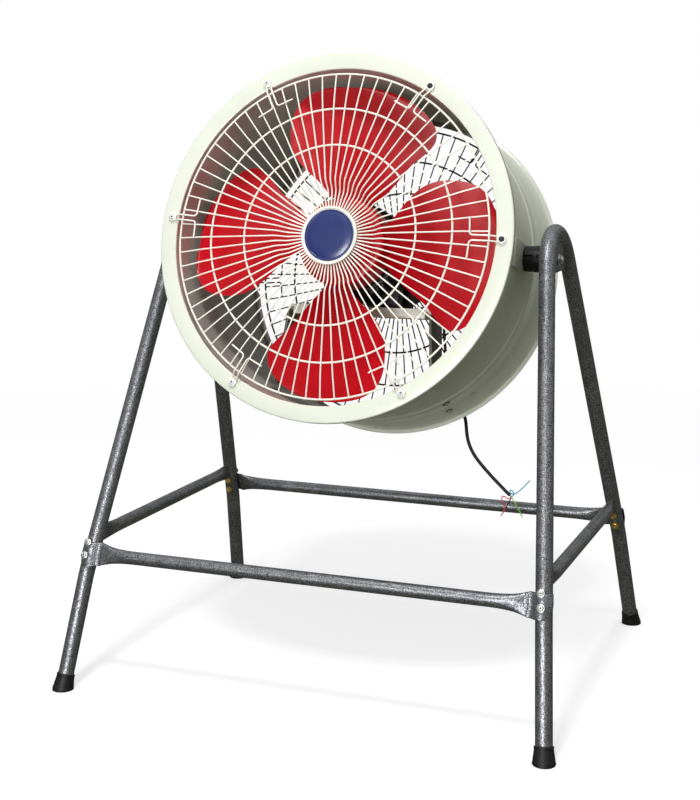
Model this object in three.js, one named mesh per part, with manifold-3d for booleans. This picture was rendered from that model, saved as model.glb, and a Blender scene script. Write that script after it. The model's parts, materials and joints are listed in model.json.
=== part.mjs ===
// A 600 mm portable axial air mover: a drum fan that tilts between the two hairpin legs of a tubular
// floor stand. Millimetres, +Z up, +X to the right seen from the front, and the fan blows towards -Y.
// The origin is on the floor, midway between the four feet.
import * as THREE from "three";
import { mergeVertices } from "three/addons/utils/BufferGeometryUtils.js";
import Module from "manifold-3d";

const wasm = await Module();
wasm.setup();

// ---- driving dimensions -------------------------------------------------------------------------
const GAP = 0.3; // face-to-face gap between pieces that touch
const TURN = 2 * Math.PI;
const radians = THREE.MathUtils.degToRad;

// Stand: two bent hairpins of 30 mm tube. One quarter is described; the others mirror it.
const LEG_R = 15;
const LEG_WALL = 2;
const LEG_SIDES = 12;
const APEX = new THREE.Vector3(359.9, 0, 1000); // where the straight legs of a hairpin would meet
const CLAMP_Z = 252; // height of the crossbar joint
const KINK_Z = 212; // the legs steepen a little below the joint
const FOOT = new THREE.Vector3(464.8, -393.8, 0);
const SPLAY_X = 0.1085; // run per unit of fall, above the kink
const SPLAY_Y = 0.4179;
const BEND_R = 87;
const KINK_R = 260;
const BAR_R = 12.5;
const BAR_BORE_R = 10.5;
const CROSSBAR_Y = 322;
const CROSSBAR_Z = 249;
const SIDE_BAR_Z = 280;
const SADDLE_HEIGHT = 43;
const SADDLE_THICK = 5;
const BOLT_PITCH = 25;
const BOLT_R = 3;

// Pivot: a bolt along X through the drum, a split spacer and a plate in the top of each hairpin.
const PIVOT_Z = 810;
const PLATE_X = 381;
const PLATE_THICK = 4;
const PLATE_BOTTOM_Z = 788;
const SPACER_R = 24;
const PAD_FACE_X = 320;
const PIVOT_R = 6;

// Fan head: "a" is the distance in front of the pivot along the fan's own axis.
const REST_TILT = radians(14.67); // nose-up at rest
const DRUM_IN = 313.8;
const DRUM_OUT = 315.8;
const FRONT_A = 193.4;
const REAR_A = -209.5;
const FLANGE_R = 345.5;
const REAR_RIM_R = 335.5;
const DRUM_SEGMENTS = 40;

// Wire guards
const GUARD_RINGS = [167.8, 235.9, 302.4];
const RING_WIRE = 2.1; // half the width of a ring
const SPOKE_WIRE = 1.6;
const FRONT_SPOKES = 18; // the real guards have 68 finer spokes
const REAR_SPOKES = 12;
const SPOKE_PHASE = radians(2.5);
const CENTRE_PLATE_R = 54.6;
const BADGE_R = 48;
const CLIP_ANGLES = [0, 58.5, 118, 175, 239.5, 300.5]; // degrees, hand-drilled round the flange
const CLIP_CIRCLE_R = 325.5;

// Motor and impeller
const MOTOR_R = 84;
const FIN_R = 92;
const FINS = 22;
const STATOR_BORE_R = 54;
const MOTOR_FRONT_A = 45;
const MOTOR_REAR_A = -125;
const SHAFT_R = 10;
const HUB_R = 85;
const HUB_FRONT_A = 138;
const HUB_REAR_A = 80.3;
const BLADE_A = 110; // axial place of the middle of each blade
const BLADE_LEAD = 1.2; // mm along the axis for each degree round it
const BLADE_THICK = 3.6;
const FIRST_BLADE = 82; // degrees
const BLADE_STATIONS = [
  // radius, then the two edges in degrees from the blade's own centre line
  [HUB_R + 0.8, -19, 25],
  [110, -23, 30],
  [140, -25, 36],
  [180, -26, 40],
  [220, -28, 39],
  [250, -29, 35],
  [274, -26, 31],
  [289, -19, 27],
  [299, -6, 18],
];
const BLADE_CAMBER = 7;

// Supply cable: leaves a gland in the rear rim and hangs, ending in four bare conductors.
const CABLE_R = 3.5;
const GLAND_ANGLE = radians(-62);
const GLAND_CIRCLE_R = 319.5;
const GLAND_TIP_A = -245;
const CABLE_ROUTE = [
  [150, 165.95, 475],
  [150, 171.75, 473.5],
  [150.1, 181.1, 469.4],
  [150.2, 189.2, 462.5],
  [150.4, 194.6, 453.3],
  [150.8, 196.9, 443.8],
  [151.7, 197.7, 432],
  [153.6, 197.6, 419],
  [157.2, 197.2, 406.5],
  [163, 196.7, 394],
  [171.5, 196.1, 380.5],
  [182.5, 195.5, 367.5],
  [195, 194.9, 354.5],
  [208, 194.3, 341.5],
  [221.5, 193.8, 329],
  [234.5, 193.4, 317],
  [246.6, 193.2, 306],
];
const CONDUCTOR_R = 1.1;
const CONDUCTORS = [
  // each wire's route from the cut end of the jacket
  [[248.8, 193, 303.8], [247.4, 191, 300.8], [243, 189.3, 299.5], [237, 189, 303.5], [231.5, 189.5, 303],
    [230.5, 190, 297],
    [234.5, 190.5, 288.5], [236.5, 191, 280], [234, 191.5, 271], [229.5, 192, 264]],
  [[249, 193.4, 303.6], [247.5, 194, 298], [244, 194.8, 291.5], [240.5, 195.5, 285], [237.8, 196, 278]],
  [[249.6, 193, 303.4], [253, 193.5, 298], [257.5, 194.6, 290], [262, 195.6, 281.5],
    [267, 196.2, 272.5], [271.5, 196.6, 263.5]],
  [[249.6, 192.6, 304.8], [253.5, 190, 306.5], [255.5, 188.5, 312], [252, 188, 318], [247.5, 189.5, 317.5],
    [248, 192, 311.5], [254.5, 195.5, 309], [264, 197.5, 315.5], [274, 199, 325.5], [284, 200, 337]],
];

// ---- solids -------------------------------------------------------------------------------------
// A closed three.js geometry as a manifold solid that faces outwards.
function toSolid(geometry) {
  const loose = geometry.index ? geometry.toNonIndexed() : geometry;
  const bare = new THREE.BufferGeometry().setAttribute("position", loose.getAttribute("position"));
  const merged = mergeVertices(bare, 1e-4);
  const triVerts = new Uint32Array(merged.index.array);
  const make = () =>
    new wasm.Manifold(
      new wasm.Mesh({ numProp: 3, vertProperties: merged.attributes.position.array, triVerts }),
    );
  const solid = make();
  if (solid.volume() > 0) return solid;
  for (let i = 0; i < triVerts.length; i += 3)
    [triVerts[i + 1], triVerts[i + 2]] = [triVerts[i + 2], triVerts[i + 1]];
  return make();
}

const joined = (solids) => solids.reduce((sum, next) => sum.add(next));
const cut = (solid, tools) => tools.reduce((rest, tool) => rest.subtract(tool), solid);

function toGeometry(solid) {
  const mesh = solid.getMesh();
  const position = new Float32Array(mesh.numVert * 3);
  for (let i = 0; i < mesh.numVert; i++) {
    const start = i * mesh.numProp;
    position.set(mesh.vertProperties.subarray(start, start + 3), i * 3);
  }
  const geometry = new THREE.BufferGeometry();
  geometry.setAttribute("position", new THREE.BufferAttribute(position, 3));
  geometry.setIndex(new THREE.BufferAttribute(new Uint32Array(mesh.triVerts), 1));
  geometry.computeVertexNormals();
  return geometry;
}

// A path whose steps fall exactly on its stations, so a bend has only the points that it needs.
class StationPath extends THREE.Curve {
  constructor(stations) {
    super();
    this.stations = stations;
  }
  getPoint(t) {
    const last = this.stations.length - 1;
    const i = Math.min(Math.floor(t * last), last - 1);
    return this.stations[i].clone().lerp(this.stations[i + 1], t * last - i);
  }
  getPointAt(u) {
    return this.getPoint(u);
  }
  getSpacedPoints() {
    return this.stations.map((p) => p.clone());
  }
  getTangentAt(u) {
    const last = this.stations.length - 1;
    const i = Math.round(u * last);
    const before = this.stations[Math.max(i - 1, 0)];
    const here = this.stations[i];
    const after = this.stations[Math.min(i + 1, last)];
    const into = i > 0 ? here.clone().sub(before).normalize() : new THREE.Vector3();
    const out = i < last ? after.clone().sub(here).normalize() : new THREE.Vector3();
    return into.add(out).normalize();
  }
}

// A polyline whose corners are rounded by arcs: each corner is {p, r, steps}.
function roundedPath(corners) {
  const stations = [];
  corners.forEach(({ p, r, steps }, i) => {
    if (!r) {
      stations.push(p.clone());
      return;
    }
    const back = corners[i - 1].p.clone().sub(p).normalize();
    const on = corners[i + 1].p.clone().sub(p).normalize();
    const half = back.angleTo(on) / 2;
    const centre = back.clone().add(on).normalize().multiplyScalar(r / Math.sin(half)).add(p);
    const start = back.multiplyScalar(r / Math.tan(half)).add(p).sub(centre);
    const end = on.multiplyScalar(r / Math.tan(half)).add(p).sub(centre);
    const axis = start.clone().cross(end).normalize();
    const sweep = start.angleTo(end);
    for (let k = 0; k <= steps; k++)
      stations.push(start.clone().applyAxisAngle(axis, (sweep * k) / steps).add(centre));
  });
  return stations;
}

function roundShape(radius, sides, boreRadius) {
  const ring = (r) =>
    Array.from({ length: sides }, (_, i) => {
      const angle = (TURN * (i + 0.5)) / sides;
      return new THREE.Vector2(r * Math.cos(angle), r * Math.sin(angle));
    });
  const shape = new THREE.Shape(ring(radius));
  if (boreRadius) shape.holes.push(new THREE.Path(ring(boreRadius)));
  return shape;
}

// A round bar or tube swept along stations.
function sweep(stations, radius, sides, boreRadius) {
  return toSolid(
    new THREE.ExtrudeGeometry(roundShape(radius, sides, boreRadius), {
      steps: stations.length - 1,
      extrudePath: new StationPath(stations),
      bevelEnabled: false,
      curveSegments: sides,
    }),
  );
}

// A cylinder or cone between two points.
function rod(from, to, radius, sides = 16, endRadius = radius) {
  const along = to.clone().sub(from);
  const geometry = new THREE.CylinderGeometry(endRadius, radius, along.length(), sides);
  geometry.applyQuaternion(
    new THREE.Quaternion().setFromUnitVectors(new THREE.Vector3(0, 1, 0), along.clone().normalize()),
  );
  geometry.translate(...from.clone().add(to).multiplyScalar(0.5).toArray());
  return toSolid(geometry);
}

function box(low, high) {
  const size = high.clone().sub(low);
  const geometry = new THREE.BoxGeometry(size.x, size.y, size.z);
  geometry.translate(...low.clone().add(high).multiplyScalar(0.5).toArray());
  return toSolid(geometry);
}

const at = (x, y, z) => new THREE.Vector3(x, y, z);

// ---- the group ----------------------------------------------------------------------------------
const group = new THREE.Group();
const head = new THREE.Group(); // everything that tilts; its own -Y is the fan's axis
head.position.z = PIVOT_Z;
head.rotation.x = -REST_TILT;
group.add(head);

const FINISHES = {
  stand: { color: 0x4a4c4e, roughness: 0.45, metalness: 0.5 },
  rubber: { color: 0x141414, roughness: 0.8, metalness: 0 },
  zinc: { color: 0xb9bbb8, roughness: 0.35, metalness: 0.9 },
  shell: { color: 0xdfe4d8, roughness: 0.4, metalness: 0.1 },
  wire: { color: 0xf2f1e8, roughness: 0.35, metalness: 0.1 },
  black: { color: 0x151515, roughness: 0.5, metalness: 0.1 },
  badge: { color: 0x25326c, roughness: 0.3, metalness: 0 },
  red: { color: 0xbe0019, roughness: 0.3, metalness: 0.1 },
  steel: { color: 0x8d8f90, roughness: 0.3, metalness: 1 },
  copper: { color: 0xb5651d, roughness: 0.4, metalness: 0.8 },
};

function addPart(parent, name, solid, finish) {
  const mesh = new THREE.Mesh(toGeometry(solid), new THREE.MeshStandardMaterial(FINISHES[finish]));
  mesh.name = name;
  parent.add(mesh);
}

// ---- stand --------------------------------------------------------------------------------------
const SIDES = [
  { name: "left", sx: -1 },
  { name: "right", sx: 1 },
];
const ENDS = [
  { name: "front", sy: 1 },
  { name: "rear", sy: -1 },
];
const mirrored = (p, sx, sy) => at(p.x * sx, p.y * sy, p.z);
// A point on a front right leg's centre line above the kink.
const legPoint = (z) => at(APEX.x + SPLAY_X * (APEX.z - z), -SPLAY_Y * (APEX.z - z), z);
const KINK = legPoint(KINK_Z);
const footAxis = FOOT.clone().sub(KINK).normalize();
const LEG_END_ABOVE_FLOOR = 8;
const legEnd = FOOT.clone().addScaledVector(footAxis, -LEG_END_ABOVE_FLOOR);
// The clamp bolts cross the leg square to it, from the front.
const boltAxis = at(0, -1, SPLAY_Y).normalize();
const legAxis = APEX.clone().sub(legPoint(CLAMP_Z)).normalize();
const boltCentres = [-0.5, 0.5].map((k) => legPoint(CLAMP_Z).addScaledVector(legAxis, k * BOLT_PITCH));

function hairpinStations(sx) {
  return roundedPath([
    { p: mirrored(legEnd, sx, 1) },
    { p: mirrored(KINK, sx, 1), r: KINK_R, steps: 1 },
    { p: mirrored(APEX, sx, 1), r: BEND_R, steps: 8 },
    { p: mirrored(KINK, sx, -1), r: KINK_R, steps: 1 },
    { p: mirrored(legEnd, sx, -1) },
  ]);
}

function boltLine(centre, sx, sy, reach, radius) {
  const from = centre.clone().addScaledVector(boltAxis, reach);
  const to = centre.clone().addScaledVector(boltAxis, -reach);
  return rod(mirrored(from, sx, sy), mirrored(to, sx, sy), radius, 6);
}

const boltHoles = (sx) =>
  ENDS.flatMap(({ sy }) => boltCentres.map((c) => boltLine(c, sx, sy, 30, BOLT_R + 0.5)));

function hairpin(sx) {
  const tube = sweep(hairpinStations(sx), LEG_R, LEG_SIDES, LEG_R - LEG_WALL);
  return cut(tube, boltHoles(sx));
}

function pivotPlate(sx) {
  const outline = [];
  const down = APEX.z - BEND_R / Math.sin(Math.atan(SPLAY_Y));
  const ARC_STEPS = 10;
  for (let i = 0; i <= ARC_STEPS; i++) {
    const angle = Math.PI * (i / ARC_STEPS);
    outline.push(new THREE.Vector2((BEND_R - 2) * Math.cos(angle), down + (BEND_R - 4) * Math.sin(angle)));
  }
  outline.forEach((p) => (p.y = Math.max(p.y, PLATE_BOTTOM_Z)));
  const geometry = new THREE.ExtrudeGeometry(new THREE.Shape(outline), {
    depth: PLATE_THICK,
    bevelEnabled: false,
  });
  // The shape's x runs along world Y, its y along world Z, and its depth along world X.
  geometry.applyMatrix4(
    new THREE.Matrix4().makeBasis(at(0, 1, 0), at(0, 0, 1), at(1, 0, 0)).setPosition(PLATE_X - 2, 0, 0),
  );
  if (sx < 0) geometry.scale(-1, 1, 1);
  const hole = rod(at(sx * 370, 0, PIVOT_Z), at(sx * 395, 0, PIVOT_Z), PIVOT_R + GAP + 0.1, 24);
  const roomForTube = sweep(hairpinStations(sx), LEG_R + 0.7, LEG_SIDES);
  return cut(toSolid(geometry), [hole, roomForTube]);
}

// The end of a crossbar, by distance out from the leg's centre: height, thickness, how much of the
// leg's slope it takes on, and how far it stands in front of the bar's own line.
const SADDLE = [
  { out: -96, high: 25, thick: 25, follow: 0, proud: 0 },
  { out: -52, high: 31, thick: 18, follow: 0.4, proud: 0 },
  { out: -36, high: 37, thick: 11.5, follow: 0.75, proud: 0 },
  { out: -25, high: 42, thick: 6.5, follow: 1, proud: 0 },
  { out: -17, high: SADDLE_HEIGHT, thick: SADDLE_THICK, follow: 1, proud: 0.6 },
  { out: -12, high: SADDLE_HEIGHT, thick: SADDLE_THICK, follow: 1, proud: 4.2 },
  { out: 0, high: SADDLE_HEIGHT, thick: SADDLE_THICK, follow: 1, proud: 8.7 },
  { out: 12, high: SADDLE_HEIGHT, thick: SADDLE_THICK, follow: 1, proud: 4.2 },
  { out: 16.5, high: SADDLE_HEIGHT, thick: SADDLE_THICK, follow: 1, proud: 0 },
];

function crossbar(sy) {
  const legX = legPoint(CROSSBAR_Z).x;
  const rows = [...SADDLE].reverse().map((s) => ({ ...s, x: -(legX + s.out) }));
  rows.push(...SADDLE.map((s) => ({ ...s, x: legX + s.out })));
  const geometry = new THREE.CylinderGeometry(1, 1, rows.length - 1, 12, rows.length - 1);
  const position = geometry.getAttribute("position");
  const squared = (v, power) => Math.sign(v) * Math.abs(v) ** power;
  for (let i = 0; i < position.count; i++) {
    const row = rows[Math.round(position.getY(i) + (rows.length - 1) / 2)];
    const flat = 1 - (row.thick - SADDLE_THICK) / (2 * BAR_R - SADDLE_THICK);
    const power = 1 - 0.65 * flat;
    const up = (row.high / 2) * squared(position.getZ(i), power);
    const forward = (row.thick / 2) * squared(position.getX(i), power) + row.proud;
    position.setXYZ(
      i,
      row.x - Math.sign(row.x) * SPLAY_X * up * row.follow,
      -CROSSBAR_Y - forward + SPLAY_Y * up * row.follow,
      CROSSBAR_Z + up,
    );
  }
  if (sy < 0) geometry.scale(1, -1, 1);
  const bar = toSolid(geometry);
  const onBar = (x, drop = 0) => at(x, -sy * CROSSBAR_Y, CROSSBAR_Z - drop);
  const hollow = rod(onBar(92 - legX), onBar(legX - 92), BAR_BORE_R, 8);
  const drain = rod(onBar(0), onBar(0, 20), 3, 6);
  const tools = [hollow, drain];
  for (const { sx } of SIDES) {
    tools.push(sweep(hairpinStations(sx), LEG_R + 0.7, LEG_SIDES), ...boltHoles(sx));
  }
  return cut(bar, tools);
}

// The side bars join front and rear legs a little above the crossbars, with flattened ends.
function sideBar(sx) {
  const leg = legPoint(SIDE_BAR_Z);
  const reach = -leg.y - LEG_R - 0.2;
  const rows = [
    { y: -reach - 14, high: 33, thick: 9 },
    { y: -reach + 10, high: 33, thick: 10 },
    { y: -reach + 26, high: 31, thick: 15 },
    { y: -reach + 46, high: 27, thick: 22 },
    { y: -reach + 66, high: 25, thick: 25 },
  ];
  rows.push(...[...rows].reverse().map((row) => ({ ...row, y: -row.y })));
  const geometry = new THREE.CylinderGeometry(1, 1, rows.length - 1, 12, rows.length - 1);
  const position = geometry.getAttribute("position");
  for (let i = 0; i < position.count; i++) {
    const row = rows[Math.round(position.getY(i) + (rows.length - 1) / 2)];
    const x = leg.x + (row.thick / 2) * position.getX(i);
    position.setXYZ(i, sx * x, row.y, SIDE_BAR_Z + (row.high / 2) * position.getZ(i));
  }
  const end = at(sx * leg.x, -reach + 60, SIDE_BAR_Z);
  const hollow = rod(end, mirrored(end, 1, -1), BAR_BORE_R, 8);
  const drain = rod(at(sx * leg.x, 0, SIDE_BAR_Z), at(sx * leg.x, 0, SIDE_BAR_Z - 20), 3, 6);
  const tools = [hollow, drain, ...boltHoles(sx)];
  for (const { sy } of ENDS) {
    // Beyond the leg's centre line nothing is left of the flattened end.
    const foot = mirrored(legPoint(SIDE_BAR_Z - 60), sx, sy);
    const top = mirrored(legPoint(SIDE_BAR_Z + 60), sx, sy);
    tools.push(rod(foot, top, LEG_R + 0.7, 24));
  }
  return cut(toSolid(geometry), tools);
}

function saddleBolt(centre, sx, sy) {
  const on = (d) => mirrored(centre.clone().addScaledVector(boltAxis, d), sx, sy);
  const FACE = 21.6; // front of the saddle plate, out from the leg's centre line
  const BACK = -15.8;
  return joined([
    rod(on(FACE), on(FACE + 4.4), 7, 8, 4.5),
    rod(on(FACE + 0.5), on(BACK - 8), BOLT_R, 6),
    rod(on(BACK), on(BACK - 5.5), 5.8, 6),
  ]);
}

function footCap(sx, sy) {
  const up = footAxis.clone().negate();
  const on = (d) => mirrored(FOOT.clone().addScaledVector(up, d), sx, sy);
  const skirt = joined([
    rod(on(-12), on(20), 22, 14, 18.4),
    rod(on(19), on(39), 18.6, 14, 17.6),
  ]);
  const floor = box(at(-700, -700, -60), at(700, 700, 0));
  return cut(skirt, [floor, rod(on(LEG_END_ABOVE_FLOOR - GAP), on(60), LEG_R + 0.8, 14)]);
}

for (const { name, sx } of SIDES) {
  addPart(group, `stand_hairpin_${name}`, hairpin(sx), "stand");
  addPart(group, `pivot_plate_${name}`, pivotPlate(sx), "stand");
  addPart(group, `side_bar_${name}`, sideBar(sx), "stand");
}
for (const { name, sy } of ENDS) addPart(group, `crossbar_${name}`, crossbar(sy), "stand");
for (const end of ENDS)
  for (const side of SIDES) {
    const where = `${end.name}_${side.name}`;
    addPart(group, `foot_${where}`, footCap(side.sx, end.sy), "rubber");
    boltCentres.forEach((centre, i) => {
      const name = `saddle_bolt_${where}_${["lower", "upper"][i]}`;
      addPart(group, name, saddleBolt(centre, side.sx, end.sy), "zinc");
    });
  }

// ---- fan head: drum -----------------------------------------------------------------------------
// Head coordinates: a point "a" in front of the pivot is at y = -a.
const headPoint = (radius, angle, a) => at(radius * Math.cos(angle), -a, radius * Math.sin(angle));

// A body of revolution about the fan's axis from [radius, a] pairs.
function turned(profile, segments) {
  const closed = profile[0][0] > 0 ? [...profile, profile[0]] : profile;
  const points = closed.map(([r, a]) => new THREE.Vector2(r, -a));
  return toSolid(new THREE.LatheGeometry(points, segments));
}

function drumShell() {
  const shell = turned(
    [
      [DRUM_IN, FRONT_A],
      [FLANGE_R, FRONT_A],
      [FLANGE_R, FRONT_A - 13],
      [FLANGE_R - 2.2, FRONT_A - 13],
      [FLANGE_R - 2.2, FRONT_A - 2.2],
      [DRUM_OUT, FRONT_A - 2.2],
      [DRUM_OUT, -68],
      [DRUM_OUT + 3, -76],
      [DRUM_OUT, -84],
      [DRUM_OUT, -150],
      [328, REAR_A + 5.5],
      [REAR_RIM_R, REAR_A + 3.2],
      [REAR_RIM_R, REAR_A],
      [DRUM_IN, REAR_A],
      [DRUM_IN, REAR_A + 2.4],
      [325.4, REAR_A + 2.4],
      [DRUM_IN, -150],
    ],
    DRUM_SEGMENTS,
  );
  const holes = CLIP_ANGLES.map((degrees) => {
    const angle = radians(degrees);
    const from = headPoint(CLIP_CIRCLE_R, angle, FRONT_A + 5);
    return rod(from, headPoint(CLIP_CIRCLE_R, angle, FRONT_A - 8), 3.1, 6);
  });
  for (const { sx } of SIDES) holes.push(rod(at(sx * 300, 0, 0), at(sx * 325, 0, 0), PIVOT_R + 0.5, 16));
  const gland = headPoint(GLAND_CIRCLE_R, GLAND_ANGLE, REAR_A + 6);
  holes.push(rod(gland, headPoint(GLAND_CIRCLE_R, GLAND_ANGLE, REAR_A - 6), 4.9, 12));
  return cut(shell, holes);
}

// A pad welded to the drum gives the spacer a flat face to bear on.
function pivotPad(sx) {
  const low = at(sx > 0 ? 305 : -PAD_FACE_X, -75, -26);
  const high = at(sx > 0 ? PAD_FACE_X : -305, 30, 26);
  const drumRoom = rod(at(0, -200, 0), at(0, 200, 0), DRUM_OUT + 0.6, 96);
  const hole = rod(at(sx * 300, 0, 0), at(sx * 325, 0, 0), PIVOT_R + 0.5, 16);
  return cut(box(low, high), [drumRoom, hole]);
}

function pivotSpacer(sx) {
  const inner = PAD_FACE_X + GAP;
  const outer = PLATE_X - PLATE_THICK / 2 - GAP;
  const body = rod(at(sx * inner, 0, 0), at(sx * outer, 0, 0), SPACER_R, 24);
  const grooves = [-1, 1].map((side) =>
    box(at(-400, side * SPACER_R - 2.5, -2), at(400, side * SPACER_R + 2.5, 2)),
  );
  return cut(body, [...grooves, rod(at(-400, 0, 0), at(400, 0, 0), PIVOT_R + 0.4, 16)]);
}

function pivotBolt(sx) {
  const along = (from, to, r, sides) => rod(at(sx * from, 0, 0), at(sx * to, 0, 0), r, sides);
  const outside = PLATE_X + PLATE_THICK / 2 + GAP;
  return joined([
    along(305, 313, 9.5, 6),
    along(312, outside + 18, PIVOT_R, 10),
    along(outside, outside + 2.5, 13, 12),
    along(outside + 2, outside + 12, 10, 6),
  ]);
}

addPart(head, "drum_shell", drumShell(), "shell");
for (const { name, sx } of SIDES) {
  addPart(head, `pivot_pad_${name}`, pivotPad(sx), "shell");
  addPart(head, `pivot_spacer_${name}`, pivotSpacer(sx), "black");
  addPart(head, `pivot_bolt_${name}`, pivotBolt(sx), "zinc");
}

// ---- guards -------------------------------------------------------------------------------------
// A guard is one web of flat bars: concentric rings joined by straight spokes, drawn flat. Each
// window between two spokes and two rings is cut out, then height(r) bends the web out of flat.
function guard(innerR, spokes, extraStations, height) {
  const pitch = TURN / spokes;
  const polar = (r, angle) =>
    new THREE.Vector2(r * Math.cos(angle + SPOKE_PHASE), r * Math.sin(angle + SPOKE_PHASE));
  const ARC = 2; // straight pieces in each ring between two spokes
  const ringLine = (r) => Array.from({ length: spokes * ARC }, (_, i) => polar(r, (pitch * i) / ARC));
  const outer = GUARD_RINGS.at(-1);
  const web = new THREE.Shape(ringLine(outer + RING_WIRE));
  web.holes.push(new THREE.Path(ringLine(innerR - RING_WIRE)));
  const rings = [innerR, ...GUARD_RINGS];
  for (let band = 0; band + 1 < rings.length; band++) {
    const low = rings[band] + RING_WIRE;
    const high = rings[band + 1] - RING_WIRE;
    const stations = [low, ...extraStations.filter((r) => r > low && r < high), high];
    for (let i = 0; i < spokes; i++) {
      const edge = (r, side) => {
        const swell = extraStations.includes(r) ? 0.2 : 0; // a wire spreads a little where it is bent
        const across = Math.asin(((SPOKE_WIRE + swell) / r) * side);
        return polar(r, pitch * (i + (side > 0 ? 0 : 1)) + across);
      };
      const middle = pitch * (i + 0.5);
      web.holes.push(
        new THREE.Path([
          ...stations.map((r) => edge(r, 1)),
          polar(high, middle),
          ...[...stations].reverse().map((r) => edge(r, -1)),
          polar(low, middle),
        ]),
      );
    }
  }
  const geometry = new THREE.ExtrudeGeometry(web, { depth: 2 * SPOKE_WIRE, bevelEnabled: false });
  const position = geometry.getAttribute("position");
  for (let i = 0; i < position.count; i++) {
    const [x, z, lift] = [position.getX(i), position.getY(i), position.getZ(i)];
    const r = Math.round(Math.hypot(x, z) * 10) / 10;
    position.setXYZ(i, x, -(height(r) - SPOKE_WIRE + lift), z);
  }
  return toSolid(geometry);
}

// The front guard stands off the flange, and its spokes dip behind the centre plate.
function frontGuard() {
  const height = (r) => {
    if (r < 90) return 189.2;
    if (r < 270) return 200.4;
    return 197.6;
  };
  return guard(52, FRONT_SPOKES, [85, 96], height);
}

// The rear guard is flat, and six straight hooks hold it to the rear rim.
const REAR_GUARD_A = REAR_A - 7;
function rearGuard() {
  const outer = GUARD_RINGS.at(-1);
  const hooks = CLIP_ANGLES.map((degrees) => {
    const on = (r, a) => headPoint(r, radians(-degrees), a);
    const route = [on(outer, REAR_GUARD_A), on(312, REAR_GUARD_A), on(318, REAR_A - 2), on(330, REAR_A - 2)];
    return sweep(route, 1.7, 3);
  });
  return joined([guard(60, REAR_SPOKES, [], () => REAR_GUARD_A), ...hooks]);
}

const centrePlate = () =>
  turned(
    [[0, 192.4], [CENTRE_PLATE_R, 192.4], [CENTRE_PLATE_R, 197.2], [CENTRE_PLATE_R - 4, 197.2],
      [CENTRE_PLATE_R - 5.4, 195.4], [0, 195.4]],
    24,
  );
const badge = () => turned([[0, 195.7], [BADGE_R - 0.4, 195.7], [BADGE_R - 1, 197], [0, 197.3]], 24);

// A clip is one bent wire: an eye round its screw, two legs over the outer ring and two arms over
// the spokes. Its points are radius, distance across and height a.
function guardClip(degrees) {
  const LEG = 5.2;
  const HIGH = 204;
  const LOW = FRONT_A + 2;
  const half = [
    [268, 36, HIGH],
    [270.5, LEG, HIGH],
    [306, LEG, HIGH - 1.6],
    [317, LEG, LOW],
    [328, LEG, LOW],
  ];
  const points = [...half, [331.8, 0, LOW], ...[...half].reverse().map(([r, t, a]) => [r, -t, a])];
  const angle = radians(degrees);
  const radial = at(Math.cos(angle), 0, Math.sin(angle));
  const across = at(-Math.sin(angle), 0, Math.cos(angle));
  const stations = points.map(([r, t, a]) =>
    at(0, -a, 0).addScaledVector(radial, r).addScaledVector(across, t),
  );
  return sweep(stations, 1.6, 3);
}

function clipScrew(degrees) {
  const on = (a) => headPoint(CLIP_CIRCLE_R, radians(degrees), a);
  const CLIP_TOP = FRONT_A + 1.9 + 1.6 + 0.2;
  return joined([
    rod(on(CLIP_TOP), on(CLIP_TOP + 3.8), 8, 8, 5),
    rod(on(CLIP_TOP + 0.5), on(FRONT_A - 9), 2.5, 5),
    rod(on(FRONT_A - 2.6), on(FRONT_A - 7), 4.6, 6),
  ]);
}

addPart(head, "front_guard", frontGuard(), "wire");
addPart(head, "guard_centre_plate", centrePlate(), "wire");
addPart(head, "guard_badge", badge(), "badge");
addPart(head, "rear_guard", rearGuard(), "black");
CLIP_ANGLES.forEach((degrees, i) => {
  addPart(head, `guard_clip_${i + 1}`, guardClip(degrees), "wire");
  addPart(head, `clip_screw_${i + 1}`, clipScrew(degrees), "zinc");
});

// ---- motor --------------------------------------------------------------------------------------
// Extrudes a shape drawn in head X and Z from a = rear to a = front.
function extrudedAlong(shape, rear, front) {
  const geometry = new THREE.ExtrudeGeometry(shape, {
    depth: front - rear,
    bevelEnabled: false,
    curveSegments: 12,
  });
  geometry.applyMatrix4(
    new THREE.Matrix4().makeBasis(at(1, 0, 0), at(0, 0, 1), at(0, -1, 0)).setPosition(0, -rear, 0),
  );
  return toSolid(geometry);
}

const PLATE_TOP = -104; // top of the motor's base plate, below the axis
function motorHousing() {
  const outline = [];
  const STEP = TURN / FINS;
  for (let i = 0; i < FINS; i++) {
    const angle = i * STEP;
    const corner = (r, offset) =>
      outline.push(new THREE.Vector2(r * Math.cos(angle + offset), r * Math.sin(angle + offset)));
    corner(MOTOR_R, -0.25 * STEP);
    corner(FIN_R, -0.14 * STEP);
    corner(FIN_R, 0.14 * STEP);
    corner(MOTOR_R, 0.25 * STEP);
  }
  const barrel = extrudedAlong(new THREE.Shape(outline), MOTOR_REAR_A, MOTOR_FRONT_A);
  const feet = [-1, 1].map((side) =>
    box(at(Math.min(side * 40, side * 78), 0, PLATE_TOP + GAP), at(Math.max(side * 40, side * 78), 95, -58)),
  );
  const terminalBox = box(at(55, 15, 10), at(122, 85, 62));
  const bore = rod(at(0, -MOTOR_FRONT_A - 1, 0), at(0, 108, 0), STATOR_BORE_R, 24);
  const bearingSeat = rod(at(0, 100, 0), at(0, 130, 0), 26.8, 24);
  return cut(joined([barrel, ...feet, terminalBox]), [bore, bearingSeat]);
}

const endShield = () =>
  turned(
    [
      [27, MOTOR_FRONT_A + GAP],
      [MOTOR_R + 2, MOTOR_FRONT_A + GAP],
      [MOTOR_R + 2, MOTOR_FRONT_A + 6],
      [38, MOTOR_FRONT_A + 18],
      [13, MOTOR_FRONT_A + 18],
      [13, MOTOR_FRONT_A + 15.7],
      [27, MOTOR_FRONT_A + 15.7],
    ],
    20,
  );

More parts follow.
